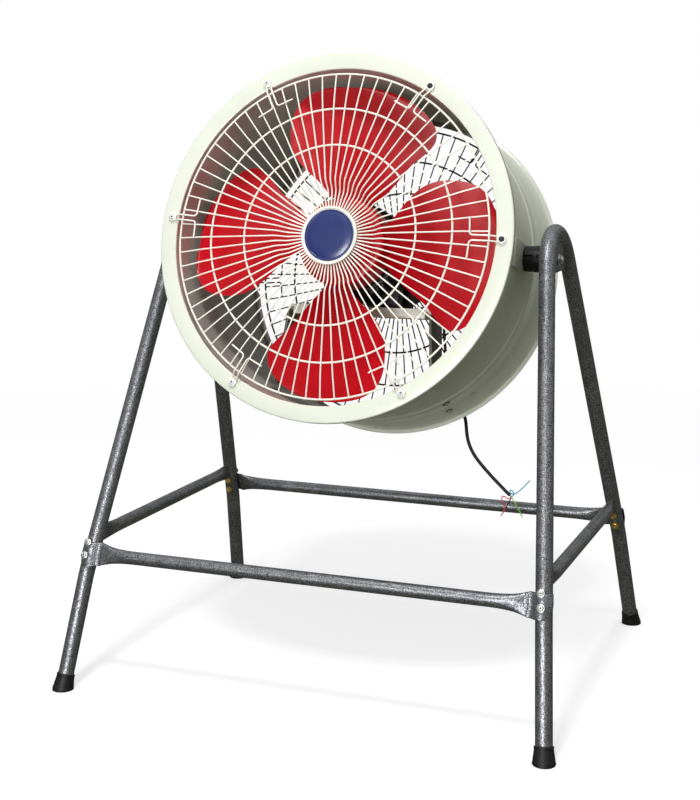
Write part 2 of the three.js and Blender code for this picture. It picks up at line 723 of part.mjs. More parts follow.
const rearCover = () =>
  turned(
    [
      [90, MOTOR_REAR_A - GAP],
      [90, MOTOR_REAR_A - 54],
      [80, MOTOR_REAR_A - 63],
      [16, MOTOR_REAR_A - 63],
      [16, MOTOR_REAR_A - 60.5],
      [79, MOTOR_REAR_A - 60.5],
      [87, MOTOR_REAR_A - 53],
      [87, MOTOR_REAR_A - GAP],
    ],
    20,
  );

// The shaft with its rotor core and the small cooling fan's boss, all turned as one piece.
const motorRotor = () =>
  turned(
    [[0, MOTOR_REAR_A - 48], [SHAFT_R, MOTOR_REAR_A - 48], [SHAFT_R, -96], [52.5, -94], [52.5, 14],
      [SHAFT_R, 16], [SHAFT_R, HUB_FRONT_A - 6], [0, HUB_FRONT_A - 6]],
    16,
  );

function bearing(a) {
  const outer = 26.1;
  const inner = SHAFT_R + 0.4;
  return turned([[inner, a], [outer, a], [outer, a + 15], [inner, a + 15]], 16);
}

// A folded saddle: the base plate under the motor and a leg down each side to the drum wall.
function motorCradle() {
  const HALF = 148;
  const THICK = 5;
  const FOOT_X = 162;
  const DEEP = -300;
  const outline = new THREE.Shape([
    new THREE.Vector2(-HALF, PLATE_TOP),
    new THREE.Vector2(-FOOT_X, DEEP),
    new THREE.Vector2(-FOOT_X + THICK, DEEP),
    new THREE.Vector2(-HALF + THICK, PLATE_TOP - THICK),
    new THREE.Vector2(HALF - THICK, PLATE_TOP - THICK),
    new THREE.Vector2(FOOT_X - THICK, DEEP),
    new THREE.Vector2(FOOT_X, DEEP),
    new THREE.Vector2(HALF, PLATE_TOP),
  ]);
  const inside = rod(at(0, -60, 0), at(0, 220, 0), DRUM_IN - 1.6, 96);
  return extrudedAlong(outline, -118, 8).intersect(inside);
}

addPart(head, "motor_housing", motorHousing(), "black");
addPart(head, "motor_end_shield", endShield(), "black");
addPart(head, "motor_rear_cover", rearCover(), "black");
addPart(head, "motor_bearing_front", bearing(MOTOR_FRONT_A + GAP + 0.1), "steel");
addPart(head, "motor_bearing_rear", bearing(MOTOR_REAR_A + 1.4), "steel");
addPart(head, "motor_rotor", motorRotor(), "steel");
addPart(head, "motor_cradle", motorCradle(), "shell");

// ---- impeller -----------------------------------------------------------------------------------
const BORE = SHAFT_R + 0.4;
const impellerHub = () =>
  turned(
    [
      [BORE, HUB_REAR_A],
      [24, HUB_REAR_A],
      [24, HUB_FRONT_A - 12],
      [HUB_R - 4, HUB_FRONT_A - 14],
      [HUB_R - 4, HUB_REAR_A],
      [HUB_R, HUB_REAR_A],
      [HUB_R, HUB_FRONT_A - 10],
      [HUB_R - 8, HUB_FRONT_A - 3],
      [40, HUB_FRONT_A],
      [BORE, HUB_FRONT_A],
    ],
    28,
  );

const retainer = () =>
  turned(
    [[0, HUB_FRONT_A - 4], [8, HUB_FRONT_A - 4], [8, HUB_FRONT_A + GAP], [22, HUB_FRONT_A + GAP],
      [22, HUB_FRONT_A + 3.5], [10, HUB_FRONT_A + 3.5], [9, HUB_FRONT_A + 10], [0, HUB_FRONT_A + 10]],
    18,
  );

// A blade is a plate bent along a helix, between two edges that vary with the radius.
function blade(index) {
  const RADIAL = BLADE_STATIONS.length - 1;
  const CHORD = 4;
  const geometry = new THREE.BoxGeometry(CHORD, RADIAL, 1, CHORD, RADIAL, 1);
  const position = geometry.getAttribute("position");
  for (let i = 0; i < position.count; i++) {
    const share = (position.getX(i) + CHORD / 2) / CHORD;
    const [r, low, high] = BLADE_STATIONS[Math.round(position.getY(i) + RADIAL / 2)];
    const degrees = low + (high - low) * share;
    const camber = BLADE_CAMBER * (1 - (2 * share - 1) ** 2) * (r / 300);
    const a = BLADE_A + BLADE_LEAD * degrees - camber + position.getZ(i) * BLADE_THICK;
    const p = headPoint(r, radians(FIRST_BLADE + 90 * index + degrees), a);
    position.setXYZ(i, p.x, p.y, p.z);
  }
  const hubRoom = rod(at(0, -60, 0), at(0, -170, 0), HUB_R + 0.5, 60);
  return toSolid(geometry).subtract(hubRoom);
}

addPart(head, "impeller_hub", impellerHub(), "red");
addPart(head, "impeller_retainer", retainer(), "zinc");
for (let i = 0; i < 4; i++) addPart(head, `impeller_blade_${i + 1}`, blade(i), "red");

// ---- cable --------------------------------------------------------------------------------------
function cableGland() {
  const on = (a) => headPoint(GLAND_CIRCLE_R, GLAND_ANGLE, a);
  const body = joined([
    rod(on(REAR_A + 5.5), on(REAR_A - 3), 4.5, 12),
    rod(on(REAR_A - GAP), on(REAR_A - 9), 9, 6),
    rod(on(REAR_A - 8.5), on(GLAND_TIP_A), 7.6, 12, 5),
  ]);
  return body.subtract(rod(on(REAR_A + 10), on(GLAND_TIP_A - 5), 3.7, 8));
}

// The lead inside the drum, held along the wall and over the cradle to the motor's terminal box.
function motorLead() {
  const GLAND_X = GLAND_CIRCLE_R * Math.cos(GLAND_ANGLE);
  const GLAND_Z = GLAND_CIRCLE_R * Math.sin(GLAND_ANGLE);
  const corners = [
    { p: at(GLAND_X, -REAR_A - 5.8, GLAND_Z) },
    { p: at(GLAND_X, -REAR_A - 21, GLAND_Z + 4), r: 24, steps: 2 },
    { p: at(135, 172, -215), r: 60, steps: 2 },
    { p: at(120, 146, -70), r: 60, steps: 2 },
    { p: at(95, 128, 36), r: 34, steps: 4 },
    { p: at(95, 85 + GAP, 36) },
  ];
  return sweep(roundedPath(corners), 3, 6);
}

const toVectors = (points) => points.map((p) => at(...p));
const cable = () => sweep(toVectors(CABLE_ROUTE), CABLE_R, 10);

function conductors() {
  const last = toVectors(CABLE_ROUTE).at(-1);
  const before = toVectors(CABLE_ROUTE).at(-2);
  const along = last.clone().sub(before).normalize();
  const stub = rod(
    last.clone().addScaledVector(along, GAP),
    last.clone().addScaledVector(along, 4.5),
    2.8,
    8,
  );
  return joined([stub, ...CONDUCTORS.map((route) => sweep(toVectors(route), CONDUCTOR_R, 4))]);
}

addPart(head, "cable_gland", cableGland(), "black");
addPart(head, "motor_lead", motorLead(), "black");
addPart(group, "supply_cable", cable(), "black");
addPart(group, "cable_conductors", conductors(), "copper");

export default group;
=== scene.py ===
"""An axial air mover on a tubular stand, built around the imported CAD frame.

Shapes are drawn in millimetres, either in the row frame or in "fan" coordinates: x to the right,
y up the tilted fan, z forwards along its axis from the pivot. mesh_object() turns both into metres.
"""
import json
import math

import bmesh
import bpy
from mathutils import Matrix, Vector


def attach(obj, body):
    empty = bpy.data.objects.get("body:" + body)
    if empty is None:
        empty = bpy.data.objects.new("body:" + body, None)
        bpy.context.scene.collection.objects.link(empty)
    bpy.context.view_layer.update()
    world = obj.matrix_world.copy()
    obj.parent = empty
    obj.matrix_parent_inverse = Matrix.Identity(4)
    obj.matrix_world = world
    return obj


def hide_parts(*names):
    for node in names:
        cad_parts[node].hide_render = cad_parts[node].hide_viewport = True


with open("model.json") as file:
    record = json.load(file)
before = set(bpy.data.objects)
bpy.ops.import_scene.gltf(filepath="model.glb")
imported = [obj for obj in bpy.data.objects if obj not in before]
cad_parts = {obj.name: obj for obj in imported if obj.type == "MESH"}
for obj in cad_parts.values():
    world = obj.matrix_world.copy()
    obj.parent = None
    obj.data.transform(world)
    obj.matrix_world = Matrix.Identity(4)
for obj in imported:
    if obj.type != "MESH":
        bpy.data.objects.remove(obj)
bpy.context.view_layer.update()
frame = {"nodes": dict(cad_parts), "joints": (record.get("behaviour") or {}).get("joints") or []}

MM = 0.001
TAU = 2 * math.pi
JOINTS = {j["name"]: j for j in frame["joints"]}
PIVOT = Vector(JOINTS["head_tilt"]["pos_m"]) / MM
SPIN_AXIS = Vector(JOINTS["impeller_spin"]["axis"])
TILT = math.atan2(SPIN_AXIS.z, -SPIN_AXIS.y)
# Fan coordinates to the row frame: x stays, y goes up and z goes to -Y, tilted about the pivot.
FAN = (
    Matrix.Translation(PIVOT)
    @ Matrix.Rotation(-TILT, 4, "X")
    @ Matrix(((1, 0, 0, 0), (0, 0, -1, 0), (0, 1, 0, 0), (0, 0, 0, 1)))
)
SIDES = {"left": -1, "right": 1}
ENDS = {"front": 1, "rear": -1}


# ---- camera ----
def add_camera():
    position = Vector((1.0204, -2.76506, 1.05054))
    yaw, pitch, roll = 0.390, 0.138, -0.004
    forward = Vector(
        (-math.sin(yaw) * math.cos(pitch), math.cos(yaw) * math.cos(pitch), -math.sin(pitch))
    )
    right = forward.cross(Vector((0, 0, 1))).normalized()
    up = right.cross(forward)
    turned_right = right * math.cos(roll) + up * math.sin(roll)
    turned_up = up * math.cos(roll) - right * math.sin(roll)
    data = bpy.data.cameras.new("camera")
    data.sensor_width = 36
    data.lens = 68.09
    data.shift_x = 0.05
    data.shift_y = -0.075
    data.clip_end = 200
    camera = bpy.data.objects.new("camera", data)
    rotation = Matrix((turned_right, turned_up, -forward)).transposed().to_4x4()
    camera.matrix_world = Matrix.Translation(position) @ rotation
    bpy.context.scene.collection.objects.link(camera)
    bpy.context.scene.camera = camera


add_camera()


# ---- shape helpers ----
def on_circle(radius, angle):
    return radius * math.cos(angle), radius * math.sin(angle)


def polar(radius, degrees, z):
    """A point in fan coordinates."""
    return Vector((*on_circle(radius, math.radians(degrees)), z))


def rounded_path(corners):
    """A polyline whose corners are arcs. Each corner is (point, radius, steps)."""
    path = []
    for i, (p, radius, steps) in enumerate(corners):
        p = Vector(p)
        if not radius:
            path.append(p)
            continue
        back = (Vector(corners[i - 1][0]) - p).normalized()
        on = (Vector(corners[i + 1][0]) - p).normalized()
        half = back.angle(on) / 2
        centre = p + (back + on).normalized() * (radius / math.sin(half))
        start = p + back * (radius / math.tan(half)) - centre
        end = p + on * (radius / math.tan(half)) - centre
        axis = start.cross(end).normalized()
        sweep_angle = start.angle(end)
        for k in range(steps + 1):
            path.append(centre + Matrix.Rotation(sweep_angle * k / steps, 3, axis) @ start)
    return path


def smooth_path(points, per_span=4):
    """A Catmull-Rom curve through points, which may be of any dimension."""
    points = [Vector(p) for p in points]
    ends = [points[0] * 2 - points[1], *points, points[-1] * 2 - points[-2]]
    path = []
    for i in range(1, len(ends) - 2):
        a, b, c, d = ends[i - 1 : i + 3]
        for k in range(per_span):
            t = k / per_span
            square, cube = a * 2 - b * 5 + c * 4 - d, b * 3 - a - c * 3 + d
            path.append((b * 2 + (c - a) * t + square * t**2 + cube * t**3) / 2)
    return [*path, points[-1]]


def sweep(points, radius, sides=16, closed=False):
    """A round bar along a path. radius is one number or one for each point."""
    points = [Vector(p) for p in points]
    count = len(points)
    tangents = []
    for i, p in enumerate(points):
        tangent = Vector()
        if closed or i > 0:
            tangent += (p - points[i - 1]).normalized()
        if closed or i < count - 1:
            tangent += (points[(i + 1) % count] - p).normalized()
        tangents.append(tangent.normalized())
    normal = tangents[0].orthogonal().normalized()
    verts = []
    for i, tangent in enumerate(tangents):
        normal = (normal - tangent * normal.dot(tangent)).normalized()
        binormal = tangent.cross(normal)
        r = radius[i] if hasattr(radius, "__len__") else radius
        for k in range(sides):
            angle = TAU * k / sides
            verts.append(points[i] + (normal * math.cos(angle) + binormal * math.sin(angle)) * r)
    return verts, ring_faces(count, sides, True) if closed else tube_faces(count, sides)


def ring_faces(rows, sides, closed_rows):
    faces = []
    for i in range(rows if closed_rows else rows - 1):
        j = (i + 1) % rows
        for k in range(sides):
            m = (k + 1) % sides
            faces.append((i * sides + k, i * sides + m, j * sides + m, j * sides + k))
    return faces


def tube_faces(rows, sides):
    """An open tube of rows, with a flat face over each end."""
    ends = [tuple(range(sides)), tuple(range((rows - 1) * sides, rows * sides))]
    return ring_faces(rows, sides, False) + ends


def turn(profile, segments, place=None):
    """Turns (radius, z) pairs about Z. The profile is a loop, or starts and ends on the axis."""
    on_axis = profile[0][0] == 0
    rows = profile[1:-1] if on_axis else profile
    verts = [
        Vector((*on_circle(r, TAU * k / segments), z)) for r, z in rows for k in range(segments)
    ]
    faces = ring_faces(len(rows), segments, not on_axis)
    if on_axis:
        last = (len(rows) - 1) * segments
        for row, (_, z) in ((0, profile[0]), (last, profile[-1])):
            verts.append(Vector((0, 0, z)))
            tip = len(verts) - 1
            faces += [(row + k, row + (k + 1) % segments, tip) for k in range(segments)]
    if place is not None:
        verts = [place @ v for v in verts]
    return verts, faces


def cylinder(radius, low, high, segments, place):
    return turn([(0, low), (radius, low), (radius, high), (0, high)], segments, place)


def along(start, direction):
    """A matrix that puts turned work on an axis from start."""
    turned = Vector((0, 0, 1)).rotation_difference(Vector(direction).normalized())
    return Matrix.Translation(Vector(start)) @ turned.to_matrix().to_4x4()


def prism(outline, low, high, bevel=0.0, place=None):
    """An outline in x and y, raised from low to high in z. A bevel softens both ends' edges."""
    bm = bmesh.new()
    base = [bm.verts.new((x, y, low)) for x, y in outline]
    face = bm.faces.new(base)
    raised = bmesh.ops.extrude_face_region(bm, geom=[face])
    moved = [v for v in raised["geom"] if isinstance(v, bmesh.types.BMVert)]
    bmesh.ops.translate(bm, verts=moved, vec=(0, 0, high - low))
    bmesh.ops.recalc_face_normals(bm, faces=bm.faces)
    if bevel:
        level = 1e-6
        flat = [e for e in bm.edges if abs(e.verts[0].co.z - e.verts[1].co.z) < level]
        bmesh.ops.bevel(bm, geom=flat, offset=bevel, segments=2, profile=0.5, affect="EDGES")
    return taken(bm, place)


def rounded_box(low, high, bevel, place=None):
    """A box between two opposite corners, with its edges rounded."""
    bm = bmesh.new()
    bmesh.ops.create_cube(bm, size=1)
    low, high = Vector(low), Vector(high)
    for v in bm.verts:
        v.co = Vector([low[i] + (v.co[i] + 0.5) * (high[i] - low[i]) for i in range(3)])
    bmesh.ops.bevel(bm, geom=bm.edges[:], offset=bevel, segments=3, profile=0.5, affect="EDGES")
    return taken(bm, place)


def taken(bm, place):
    """The vertices and faces of a bmesh, which is freed."""
    bm.verts.index_update()
    verts = [(place @ v.co if place is not None else v.co.copy()) for v in bm.verts]
    faces = [tuple(v.index for v in f.verts) for f in bm.faces]
    bm.free()
    return verts, faces


def hexagon(radius, depth, place):
    outline = [on_circle(radius, TAU * k / 6) for k in range(6)]
    return prism(outline, 0, depth, bevel=0.5, place=place)


class Shape:
    """Vertices and faces gathered from closed pieces, with a material number for each face."""

    def __init__(self, *pieces):
        self.verts, self.faces, self.numbers = [], [], []
        for piece in pieces:
            self.add(piece)

    def add(self, piece, number=0):
        verts, faces = piece
        first = len(self.verts)
        self.verts += verts
        self.faces += [tuple(i + first for i in f) for f in faces]
        self.numbers += [number] * len(faces)
        return self


def mesh_object(name, shape, materials, body, replaces=(), fan=False, sharp=40):
    """Makes a piece from a Shape, in place, riding on its body. fan: it is in fan coordinates."""
    if not isinstance(materials, (list, tuple)):
        materials = [materials]
    place = FAN if fan else Matrix.Identity(4)
    mesh = bpy.data.meshes.new(name)
    mesh.from_pydata([(place @ Vector(v)) * MM for v in shape.verts], [], shape.faces)
    for m in materials:
        mesh.materials.append(m)
    mesh.polygons.foreach_set("material_index", shape.numbers)
    bm = bmesh.new()
    bm.from_mesh(mesh)
    bmesh.ops.recalc_face_normals(bm, faces=bm.faces)
    bm.to_mesh(mesh)
    bm.free()
    mesh.polygons.foreach_set("use_smooth", [True] * len(mesh.polygons))
    mesh.set_sharp_from_angle(angle=math.radians(sharp))
    piece = bpy.data.objects.new(name, mesh)
    bpy.context.scene.collection.objects.link(piece)
    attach(piece, body)
    if replaces:
        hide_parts(*replaces)
    return piece


# ---- materials ----
class Nodes:
    """A short way to build a material's nodes."""

    def __init__(self, name):
        self.material = bpy.data.materials.new(name)
        self.material.use_nodes = True
        self.tree = self.material.node_tree
        self.shader = self.tree.nodes["Principled BSDF"]
        self.place = self.tree.nodes.new("ShaderNodeTexCoord").outputs["Object"]

    def link(self, output, target):
        self.tree.links.new(output, target)

    def node(self, kind, sockets=None, **settings):
        """A new node, with constants for its sockets by name and with its own settings."""
        node = self.tree.nodes.new(kind)
        for key, value in settings.items():
            setattr(node, key, value)
        for key, value in (sockets or {}).items():
            node.inputs[key].default_value = value
        return node

    def noise(self, scale, detail=4, rough=0.55, stretch=None):
        constants = {"Scale": scale, "Detail": detail, "Roughness": rough}
        node = self.node("ShaderNodeTexNoise", constants)
        place = self.place
        if stretch:
            mapping = self.node("ShaderNodeMapping", {"Scale": stretch})
            self.link(place, mapping.inputs["Vector"])
            place = mapping.outputs["Vector"]
        self.link(place, node.inputs["Vector"])
        return node.outputs["Fac"]

    def cells(self, scale):
        node = self.node("ShaderNodeTexVoronoi", {"Scale": scale}, feature="F1")
        self.link(self.place, node.inputs["Vector"])
        return node.outputs["Distance"]

    def ramp(self, value, stops):
        node = self.node("ShaderNodeValToRGB")
        elements = node.color_ramp.elements
        while len(elements) < len(stops):
            elements.new(0.5)
        for element, (at, color) in zip(elements, stops):
            element.position = at
            element.color = (*color, 1)
        self.link(value, node.inputs["Fac"])
        return node.outputs["Color"]

    def mix(self, factor, a, b):
        """Mixes two colours, each a constant or a node's output."""
        node = self.node("ShaderNodeMix", data_type="RGBA")
        factor_socket, a_socket, b_socket, result_socket = 0, 6, 7, 2
        self.link(factor, node.inputs[factor_socket])
        for value, socket in ((a, a_socket), (b, b_socket)):
            if isinstance(value, tuple):
                node.inputs[socket].default_value = (*value, 1)
            else:
                self.link(value, node.inputs[socket])
        return node.outputs[result_socket]

    def spread(self, value, low, high, start=0.3, end=0.7):
        """Maps start to end onto low to high."""
        ranges = {"From Min": start, "From Max": end, "To Min": low, "To Max": high}
        node = self.node("ShaderNodeMapRange", ranges)
        self.link(value, node.inputs["Value"])
        return node.outputs["Result"]

    def bump(self, *layers):
        """layers are (height, strength, distance in metres)."""
        normal = None
        for height, strength, distance in layers:
            node = self.node("ShaderNodeBump", {"Strength": strength, "Distance": distance})
            self.link(height, node.inputs["Height"])
            if normal is not None:
                self.link(normal, node.inputs["Normal"])
            normal = node.outputs["Normal"]
        self.link(normal, self.shader.inputs["Normal"])

    def finish(self, color=None, rough=None, **values):
        if color is not None:
            self.link(color, self.shader.inputs["Base Color"])
        if rough is not None:
            self.link(rough, self.shader.inputs["Roughness"])
        for key, value in values.items():
            self.shader.inputs[key.replace("_", " ")].default_value = value
        return self.material


def shade(color, factor):
    """A darker or lighter colour."""
    return tuple(c * factor for c in color)


def gloss_paint(name, color, dirt, rough, coat, wave):
    """Sprayed gloss paint: orange peel, a little dust, and shallow waves that bend reflections."""
    n = Nodes(name)
    dust = n.spread(n.noise(9, 6, 0.6), 0.0, 0.3, 0.42, 0.75)
    tint = n.mix(n.noise(2.2, 2), shade(color, 0.95), shade(color, 1.04))
    n.bump((n.cells(11), wave, 0.004), (n.noise(420, 2), 0.06, 0.0006))
    return n.finish(
        n.mix(dust, tint, dirt),
        n.spread(n.noise(14, 5), rough * 0.85, rough * 1.3),
        Coat_Weight=coat,
        Coat_Roughness=0.15,
    )


def hammer_paint():
    """Dark grey hammered enamel, with bright metal flakes in the dents."""
    n = Nodes("stand_hammer_paint")
    dents = n.cells(430)
    bright, middle, dark = (0.84, 0.85, 0.90), (0.26, 0.265, 0.29), (0.035, 0.037, 0.044)
    fleck = n.ramp(dents, [(0.0, bright), (0.3, middle), (0.8, dark)])
    speckle = n.spread(n.noise(900, 3, 0.7), 0.0, 0.75, 0.52, 0.65)
    color = n.mix(speckle, fleck, (0.85, 0.86, 0.89))
    cloud = n.mix(n.spread(n.noise(24, 4), 0.0, 0.5), color, (0.08, 0.082, 0.092))
    n.bump((dents, 0.4, 0.0006), (n.noise(220, 3), 0.25, 0.0008))
    return n.finish(cloud, n.spread(n.noise(300, 3), 0.3, 0.48), Metallic=0.85)


def plain_metal(name, color, rough, grain=(1, 1, 1), metallic=1.0):
    """Plated or bright metal, with a fine streak. grain stretches it."""
    n = Nodes(name)
    streak = n.noise(260, 4, 0.6, grain)
    tint = n.mix(streak, shade(color, 0.82), shade(color, 1.08))
    n.bump((streak, 0.12, 0.0004))
    return n.finish(tint, n.spread(n.noise(50, 4), rough * 0.7, rough * 1.4), Metallic=metallic)


def moulded(name, color, rough, grain, dust=(0.06, 0.057, 0.052), dusty=0.25):
    """Moulded rubber or plastic with a fine grain and some dust."""
    n = Nodes(name)
    dirt = n.spread(n.noise(26, 6, 0.65), 0.0, dusty, 0.45, 0.75)
    n.bump((n.noise(grain, 3), 0.22, 0.0004), (n.noise(40, 3), 0.08, 0.001))
    return n.finish(
        n.mix(dirt, n.mix(n.noise(8, 3), shade(color, 0.85), shade(color, 1.15)), dust),
        n.spread(n.noise(70, 4), rough * 0.85, rough * 1.15),
        Specular_IOR_Level=0.3,
    )


def drum_inside_painted_shade():
    """The inside of the drum: a darker copy of the drum's paint, as painted shade, unevenly
    clouded.
    """
    n = Nodes("drum_inside_painted_shade")
    tint = n.ramp(n.noise(7, 5, 0.6), [(0.3, (0.40, 0.385, 0.35)), (0.7, (0.60, 0.59, 0.555))])
    n.bump((n.noise(6, 2), 0.1, 0.02), (n.noise(300, 3), 0.08, 0.0006))
    return n.finish(tint, n.spread(n.noise(20, 5), 0.42, 0.58), Metallic=0.1)


def impeller_paint():
    """Deep red paint on the blades and the hub."""
    n = Nodes("impeller_red")
    tint = n.mix(n.spread(n.noise(5, 4), 0, 1), (0.42, 0.0, 0.004), (0.54, 0.0, 0.009))
    n.bump((n.noise(9, 2), 0.1, 0.02), (n.noise(380, 2), 0.07, 0.0006))
    return n.finish(
        tint,
        n.spread(n.noise(16, 5), 0.3, 0.48),
        Coat_Weight=0.12,
        Coat_Roughness=0.2,
        Specular_IOR_Level=0.22,
    )


WHITE, BLACK = (0.88, 0.87, 0.79), (0.012, 0.012, 0.012)
M = {
    "stand": hammer_paint(),
    "rubber": moulded("foot_rubber", (0.007, 0.007, 0.0075), 0.5, 900, (0.03, 0.029, 0.027), 0.2),
    "drum": gloss_paint("drum_paint", (0.70, 0.73, 0.635), (0.60, 0.60, 0.50), 0.3, 0.5, 0.3),
    # The drum's inside is the same paint, drawn darker as painted shade.
    "inside_shade": drum_inside_painted_shade(),
    "wire": gloss_paint("white_wire_paint", WHITE, (0.66, 0.62, 0.5), 0.28, 0.4, 0.0),
    # The rear wires are drawn black as painted shade, for the drum's shade they stand in.
    "black_wire": gloss_paint("rear_wire_painted_shade", BLACK, (0.06, 0.055, 0.05), 0.35, 0.2, 0.0),
    "badge": gloss_paint("badge_blue", (0.014, 0.026, 0.135), (0.03, 0.045, 0.15), 0.26, 0.2, 0.0),
    "red": impeller_paint(),
    "zinc": plain_metal("zinc_plate", (0.72, 0.72, 0.70), 0.34),
    "white_screw": plain_metal("white_zinc", (0.86, 0.86, 0.83), 0.42, metallic=0.25),
    # Dark metal, which is also the painted shade in every screw's cross recess.
    "dark": plain_metal("dark_metal_and_recess_shade", (0.03, 0.03, 0.032), 0.4, metallic=0.6),
    "brass": plain_metal("brass_nut", (0.80, 0.58, 0.22), 0.3),
    "steel": plain_metal("bright_steel", (0.55, 0.55, 0.54), 0.28, (1, 8, 1)),
    "motor": moulded("motor_black", (0.007, 0.007, 0.008), 0.45, 500, (0.04, 0.038, 0.034), 0.3),
    "cradle": gloss_paint("cradle_paint", (0.86, 0.86, 0.76), (0.62, 0.60, 0.5), 0.4, 0.2, 0.1),
    # The cradle's legs are the plate's pale sheet, drawn dark olive as painted shade.
    "strut_shade": gloss_paint(
        "cradle_struts_painted_shade", (0.10, 0.105, 0.075), (0.16, 0.15, 0.11), 0.42, 0.2, 0.1
    ),
    "spacer": moulded(
        "spacer_plastic", (0.005, 0.005, 0.0055), 0.5, 500, (0.02, 0.019, 0.018), 0.15
    ),
    "cable": moulded("cable_jacket", (0.006, 0.006, 0.0065), 0.5, 700, (0.03, 0.029, 0.027)),
    "gland": moulded("gland_nylon", (0.014, 0.014, 0.015), 0.45, 600),
    "wire_red": moulded("conductor_red", (0.90, 0.06, 0.16), 0.35, 900, (0.8, 0.15, 0.2), 0.1),
    "wire_black": moulded("conductor_black", BLACK, 0.35, 900),
    "wire_green": moulded("conductor_green", (0.10, 0.62, 0.08), 0.35, 900, (0.75, 0.7, 0.05), 0.9),
    "wire_blue": moulded("conductor_blue", (0.02, 0.48, 0.72), 0.35, 900, (0.1, 0.5, 0.7), 0.1),
    "copper": plain_metal("copper_strand", (0.85, 0.38, 0.22), 0.3, (1, 1, 6)),
}


def stand_piece(name, shape, replaces):
    """A piece of painted tube or plate."""
    mesh_object(name, shape, M["stand"], "stand", replaces)


def head_piece(name, shape, materials, replaces=()):
    mesh_object(name, shape, materials, "fan_head", replaces, fan=True)


def impeller_piece(name, shape, material, replaces, sharp=40):
    mesh_object(name, shape, material, "impeller", replaces, fan=True, sharp=sharp)


# ---- supply cable ----
CABLE_RADIUS = 3.5
SLEEVE_RADIUS, STRAND_RADIUS, BARE_LENGTH = 1.15, 0.7, 4
CABLE_ROUTE = [
    (150, 165.95, 475), (150, 171.75, 473.5), (150.1, 181.1, 469.4), (150.2, 189.2, 462.5),
    (150.4, 194.6, 453.3), (150.8, 196.9, 443.8), (151.7, 197.7, 432), (153.6, 197.6, 419),
    (157.2, 197.2, 406.5), (163, 196.7, 394), (171.5, 196.1, 380.5), (182.5, 195.5, 367.5),
    (195, 194.9, 354.5), (208, 194.3, 341.5), (221.5, 193.8, 329), (234.5, 193.4, 317),
    (246.6, 193.2, 306),
]
CONDUCTORS = {
    "red": [(245.6, 193.2, 306.9), (248.8, 193, 303.8), (247.4, 191, 300.8), (243, 189.3, 299.5),
            (237, 189, 303.5), (231.5, 189.5, 303), (230.5, 190, 297), (234.5, 190.5, 288.5),
            (236.5, 191, 280), (234, 191.5, 271), (229.5, 192, 264)],
    "black": [(246, 193.9, 306.5), (249, 193.4, 303.6), (247.5, 194, 298), (244, 194.8, 291.5),
              (240.5, 195.5, 285), (237.8, 196, 278)],
    "green": [(246.4, 193, 306), (249.6, 193, 303.4), (253, 193.5, 298), (257.5, 194.6, 290),
              (262, 195.6, 281.5), (267, 196.2, 272.5), (271.5, 196.6, 263.5)],
    "blue": [(246.2, 192.5, 306.8), (249.6, 192.6, 304.8), (253.5, 190, 306.5), (255.5, 188.5, 312),
             (252, 188, 318), (247.5, 189.5, 317.5), (248, 192, 311.5), (254.5, 195.5, 309),
             (264, 197.5, 315.5), (274, 199, 325.5), (284, 200, 337)],
}


def add_cable():
    for color, route in CONDUCTORS.items():
        path = smooth_path(route, 5)
        tip = (path[-1] - path[-2]).normalized()
        shape = Shape(sweep(path, SLEEVE_RADIUS, 10))
        strand = [path[-1] - tip, path[-1] + tip * BARE_LENGTH]
        shape.add(sweep(strand, STRAND_RADIUS, 8), 1)
        name, materials = f"conductor_{color}", [M[f"wire_{color}"], M["copper"]]
        mesh_object(
                name, shape, materials, "fan_head", ["cable_conductors"]
            )
    path = smooth_path(CABLE_ROUTE, 2)
    cut_end = 0.93
    radii = [CABLE_RADIUS] * (len(path) - 1) + [CABLE_RADIUS * cut_end]
    shape = Shape(sweep(path, radii, 20))
    cable = mesh_object("cable", shape, M["cable"], "fan_head", ["supply_cable"])


add_cable()

# ---- stand ----
LEG_RADIUS, BAR_RADIUS = 15, 12.5
APEX = Vector((359.9, 0, 1000))  # where the front and rear legs would meet without their bend
SPLAY_X, SPLAY_Y = 0.1085, 0.4179
BEND_RADIUS = 87
KINK_Z, KINK_RADIUS = 212, 260
CLAMP_Z, BOLT_SPACING = 252, 25
CROSSBAR_Y, CROSSBAR_Z = 322, 249
SIDE_BAR_Z = 280
SADDLE_THICKNESS = 5
FOOT = Vector((464.8, -393.8, 0))
TUBE_START = 9  # above the floor, inside the cap
PLATE_INNER, PLATE_OUTER = 379, 383
PLATE_HALF_WIDTH, PLATE_RISE, PLATE_LOW = 84, 80, 788


def leg_point(z):
    """A point on the front right leg's centre line, above its kink."""
    return Vector((APEX.x + SPLAY_X * (APEX.z - z), -SPLAY_Y * (APEX.z - z), z))


def mirrored(p, sx, sy):
    return Vector((p[0] * sx, p[1] * sy, p[2]))


FOOT_UP = (leg_point(KINK_Z) - FOOT).normalized()
BOLT_AXIS = Vector((0, -1, SPLAY_Y)).normalized()


def add_hairpin(side, sx):
    end, kink = FOOT + FOOT_UP * TUBE_START, leg_point(KINK_Z)
    path = rounded_path(
        [
            (mirrored(end, sx, 1), 0, 0),
            (mirrored(kink, sx, 1), KINK_RADIUS, 10),
            (mirrored(APEX, sx, 1), BEND_RADIUS, 40),
            (mirrored(kink, sx, -1), KINK_RADIUS, 10),
            (mirrored(end, sx, -1), 0, 0),
        ]
    )
    shape = Shape(sweep(path, LEG_RADIUS, 40))
    stand_piece(f"hairpin_{side}", shape, [f"stand_hairpin_{side}"])


